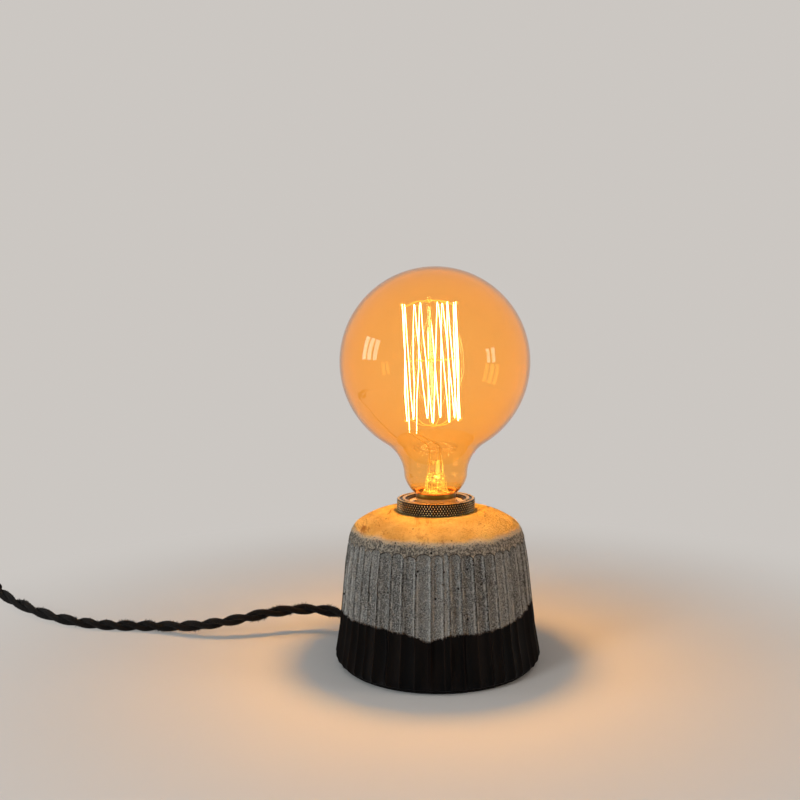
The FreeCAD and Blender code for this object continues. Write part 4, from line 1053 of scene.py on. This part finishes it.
def makeStem():
    s = stemSet
    foot, rim, tube, press, top = s["foot"], s["rim"], s["tube"], s["pressHeight"], s["pressTop"]
    half, rimInside, tubeInside = s["press"][0] / 2, rim - s["glass"], tube - s["glass"]
    outer = bowed((rim, foot + 0.9), (tube, foot + 6.5), 1.0, 8) + [(tube, press - 5)]
    outer += bowed((tube, press - 5), (half, press + 2), -0.3, 8) + [(half, press + 5)]
    outer += near(half, top, (-0.05, -1.2), (-0.35, -0.4), (-1.05, 0)) + [(2, top), (0, top)]
    inner = [(0, press - 1)] + bowed((2.0, press - 1.2), (tubeInside, press - 5), 0.5, 5) + [(tubeInside, foot + 6.2)]
    inner += bowed((tubeInside, foot + 6.2), (rimInside, foot), -1.0, 8)
    piece = turnedPiece("stemGlass", 72, [(rim, foot)] + outer, closed=False)
    for vertex, _, _, z, _ in spots(piece):
        pinch = clamp((z - (press - 4)) / 7)
        vertex.co.y *= 1 - pinch * pinch * (3 - 2 * pinch) * (1 - s["press"][1] / s["press"][0])
    hollow = turnedPiece("stemHollow", 72, [(rimInside - 0.05, foot)] + [p for p in inner[::-1] if p[0] < rimInside], closed=False)
    pick(piece)
    hollow.select_set(True)
    bpy.ops.object.join()
    bpy.ops.object.mode_set(mode="EDIT")
    bpy.ops.mesh.select_all(action="DESELECT")
    bpy.ops.mesh.select_non_manifold()
    bpy.ops.mesh.bridge_edge_loops()
    turnOutward(piece)
    look = glassLook("stemGlass", (1.0, 0.94, 0.80), 0.95)
    # painted glow: fine bright emissive streaks along the stem glass
    paintedGlowStreaks = look.grain(760, 3, 0.6, look.place((1, 1, 0.07)))
    look.set(EmissionColor=look.mixed(paintedGlowStreaks.ramp(0.53, 0.64), (0.03, 0.012, 0.0), (1.0, 0.74, 0.22)), EmissionStrength=0.8)
    dress(piece, look, "bulb", ["bulb_stem"], 50)


def makeRod():
    s = cageSet
    r, h, low, top = s["rod"], s["buttonHeight"], stemSet["pressTop"] - 0.5, s["rodTop"]
    profile = [(0, low), (r, low)]
    for middle in (s["bottom"] - h, s["middle"], s["top"] + h / 2):
        bulge = swung((r, middle), s["button"] - r, -80, 80, 6)
        profile += [(r, middle - h / 2 - 0.6)] + bulge + [(r, middle + h / 2 + 0.6)]
    profile += [(r, top - 0.2), (r * 0.7, top + 0.5), (0, top + 0.7)]
    rod = turnedPiece("stemRod", 32, profile, closed=False)
    for vertex in rod.data.vertices:
        vertex.co = Vector(leaned(tuple(v / mm for v in vertex.co))) * mm
    look = glassLook("rodGlass", (1.0, 0.95, 0.86), 0.985)
    # painted glow: faint orange emission on the rod
    look.set(EmissionColor=(1.0, 0.55, 0.12), EmissionStrength=0.015)
    dress(rod, look, "bulb", ["bulb_rod"], 50)


makeGlobe()
makeCap()
makeStem()
makeRod()
makeFilament()
makeHooks()
print("bulb made")


# Tie of the coil

tieSet = {"x": -430.0, "width": 8.0, "low": 45.2, "high": 69.6, "bottom": 0.2, "top": 16.7, "corner": 3.4, "thickness": 0.75,
          "rows": 6, "edge": 0.2}


def makeTie():
    s = tieSet
    r, wide = s["corner"], s["width"]
    low, high, bottom, top = s["low"] + r, s["high"] - r, s["bottom"] + r, s["top"] - r
    outline = []
    for middle, first in (((high, top), 0), ((low, top), 90), ((low, bottom), 180), ((high, bottom), 270)):
        outline += swung(middle, r, first, first + 90, 7)
    clearSelection()
    bpy.ops.mesh.primitive_circle_add(vertices=len(outline), radius=0.01)
    piece = bpy.context.object
    piece.name = "coilTie"
    for vertex, (y, z) in zip(piece.data.vertices, outline):
        vertex.co = ((s["x"] - wide / 2) * mm, y * mm, z * mm)
    bpy.ops.object.mode_set(mode="EDIT")
    bpy.ops.mesh.select_all(action="SELECT")
    for _ in range(s["rows"]):
        bpy.ops.mesh.extrude_region_move(TRANSFORM_OT_translate={"value": (wide / s["rows"] * mm, 0, 0)})
    turnOutward(piece)
    useModifier(piece, "SOLIDIFY", thickness=s["thickness"] * mm, offset=-1)
    useModifier(piece, "BEVEL", width=s["edge"] * mm, segments=2, limit_method="ANGLE", angle_limit=math.radians(50))
    look = Look("wovenStrap", Roughness=0.9, SpecularIORLevel=0.2)
    weave = look.add("TexChecker", {"Vector": look.place(), "Scale": 1400.0}, "Fac")
    fuzz = look.grain(1600, 3)
    look.set(BaseColor=look.tones(fuzz, (24, 24, 26), (50, 49, 50)), Normal=look.bumped(weave * 0.5 + fuzz, 0.00015))
    return dress(piece, look, "root", ["coil_tie"], 40)


tiePiece = makeTie()


# Tapered strain reliefs of the switch and the plug

bootSet = {
    "buried": 2.0, "wideEnd": 5.9, "cordEnd": 4.4, "bore": 3.5, "grooveStep": 3.6, "grooveDepth": 0.55, "rows": 72, "sides": 36,
    "ribsFrom": 0.14, "ribbed": 0.76, "endRound": 0.3,
}


def makeBoot(name, path, pathLength, entry, length):  # bent along the cord, from its path's start
    s = bootSet
    long = s["buried"] + length
    ribs = round(s["ribbed"] * long / s["grooveStep"])
    outer = []
    for i in range(s["rows"] + 1):
        t = i / s["rows"]
        cut = s["grooveDepth"] * (0.5 - 0.5 * math.cos(2 * math.pi * ribs * clamp((t - s["ribsFrom"]) / s["ribbed"])))
        outer.append((s["wideEnd"] + (s["cordEnd"] - s["wideEnd"]) * t - cut, long * t))
    end = long + s["endRound"]
    piece = turnedPiece(name, s["sides"], [(s["bore"], 0)] + outer + [(s["cordEnd"] - 0.35, end), (s["bore"], end)])
    points = [Vector(point) for point in path]
    ways, sides = carriedFrames(points)
    gap = pathLength / (len(points) - 1)
    for vertex in piece.data.vertices:
        x, y, z = vertex.co
        along = ((entry - s["buried"]) * mm + z) / gap
        k = int(along)
        point, way, side = (line[k].lerp(line[k + 1], along - k) for line in (points, ways, sides))
        vertex.co = point + side * x + way.cross(side) * y
    return dress(turnOutward(piece), solidLooks["blackRubber"], "root", (), 50)


leadBoot = makeBoot("switchLeadBoot", leadPath[::-1], leadLength, 12.0, 20.5)
linkBoot = makeBoot("switchLinkBoot", farPath, farLength, 12.0, 20.5)
plugBoot = makeBoot("plugBoot", farPath[::-1], farLength, 9.0, 26.0)
print("small pieces made")

switchNodes = ("switch_base", "switch_cover", "switch_rocker", "rocker_pin", "switch_contacts", "switch_screws")
switchPieces = [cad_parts[n] for n in switchNodes]
plugPieces = [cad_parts[n] for n in ("plug_lower", "plug_upper", "plug_pins", "plug_screw")]
switchPieces + [leadBoot]
plugPieces + [tiePiece, plugBoot, linkBoot]


# Floor and background

def seenShare(nodes):  # one where a camera, gloss or glass ray looks, nothing where light falls
    rays = [nodes.add("LightPath", out=name) for name in ("Is Camera Ray", "Is Glossy Ray", "Is Transmission Ray")]
    return rays[0].most(rays[1]).most(rays[2])


def makeFloor():
    clearSelection()
    bpy.ops.mesh.primitive_plane_add(size=14, location=(0, 0, 0))
    floor = bpy.context.object
    floor.name = "paleFloor"
    look = Look("paleFloor", Roughness=0.85, SpecularIORLevel=0.1)
    look.set(BaseColor=look.mixed(look.grain(3, 2), (0.71, 0.68, 0.65), (0.76, 0.73, 0.70)))
    away = look.add("VectorMath", {0: look.place()}, "Value", operation="LENGTH")
    clear = away.ramp(*lightSet["clear"]) * seenShare(look)
    pale = look.add("Emission", {"Color": lightSet["backdrop"], "Strength": 1.0}, "Emission")
    lit = Value(look, look.shader.outputs["BSDF"])
    look.output("Surface", look.add("MixShader", {0: clear, 1: lit, 2: pale}, "Shader"))
    floor.data.materials.append(look.material)


def makeWorld():
    world = bpy.data.worlds.new("studio")
    bpy.context.scene.world = world
    world.use_nodes = True
    studio = Nodes(world.node_tree)
    studio.tree.nodes.clear()
    ambient = studio.add("Background", {"Color": (1, 1, 1), "Strength": lightSet["ambient"]})
    pale = studio.add("Background", {"Color": lightSet["backdrop"], "Strength": 1})
    shown = studio.add("MixShader", {0: seenShare(studio), 1: ambient, 2: pale})
    out = studio.tree.nodes.new("ShaderNodeOutputWorld")
    studio.feed(out.inputs["Surface"], shown)


makeFloor()
makeWorld()
bpy.context.scene.view_settings.view_transform = "Standard"
print("scene ready")
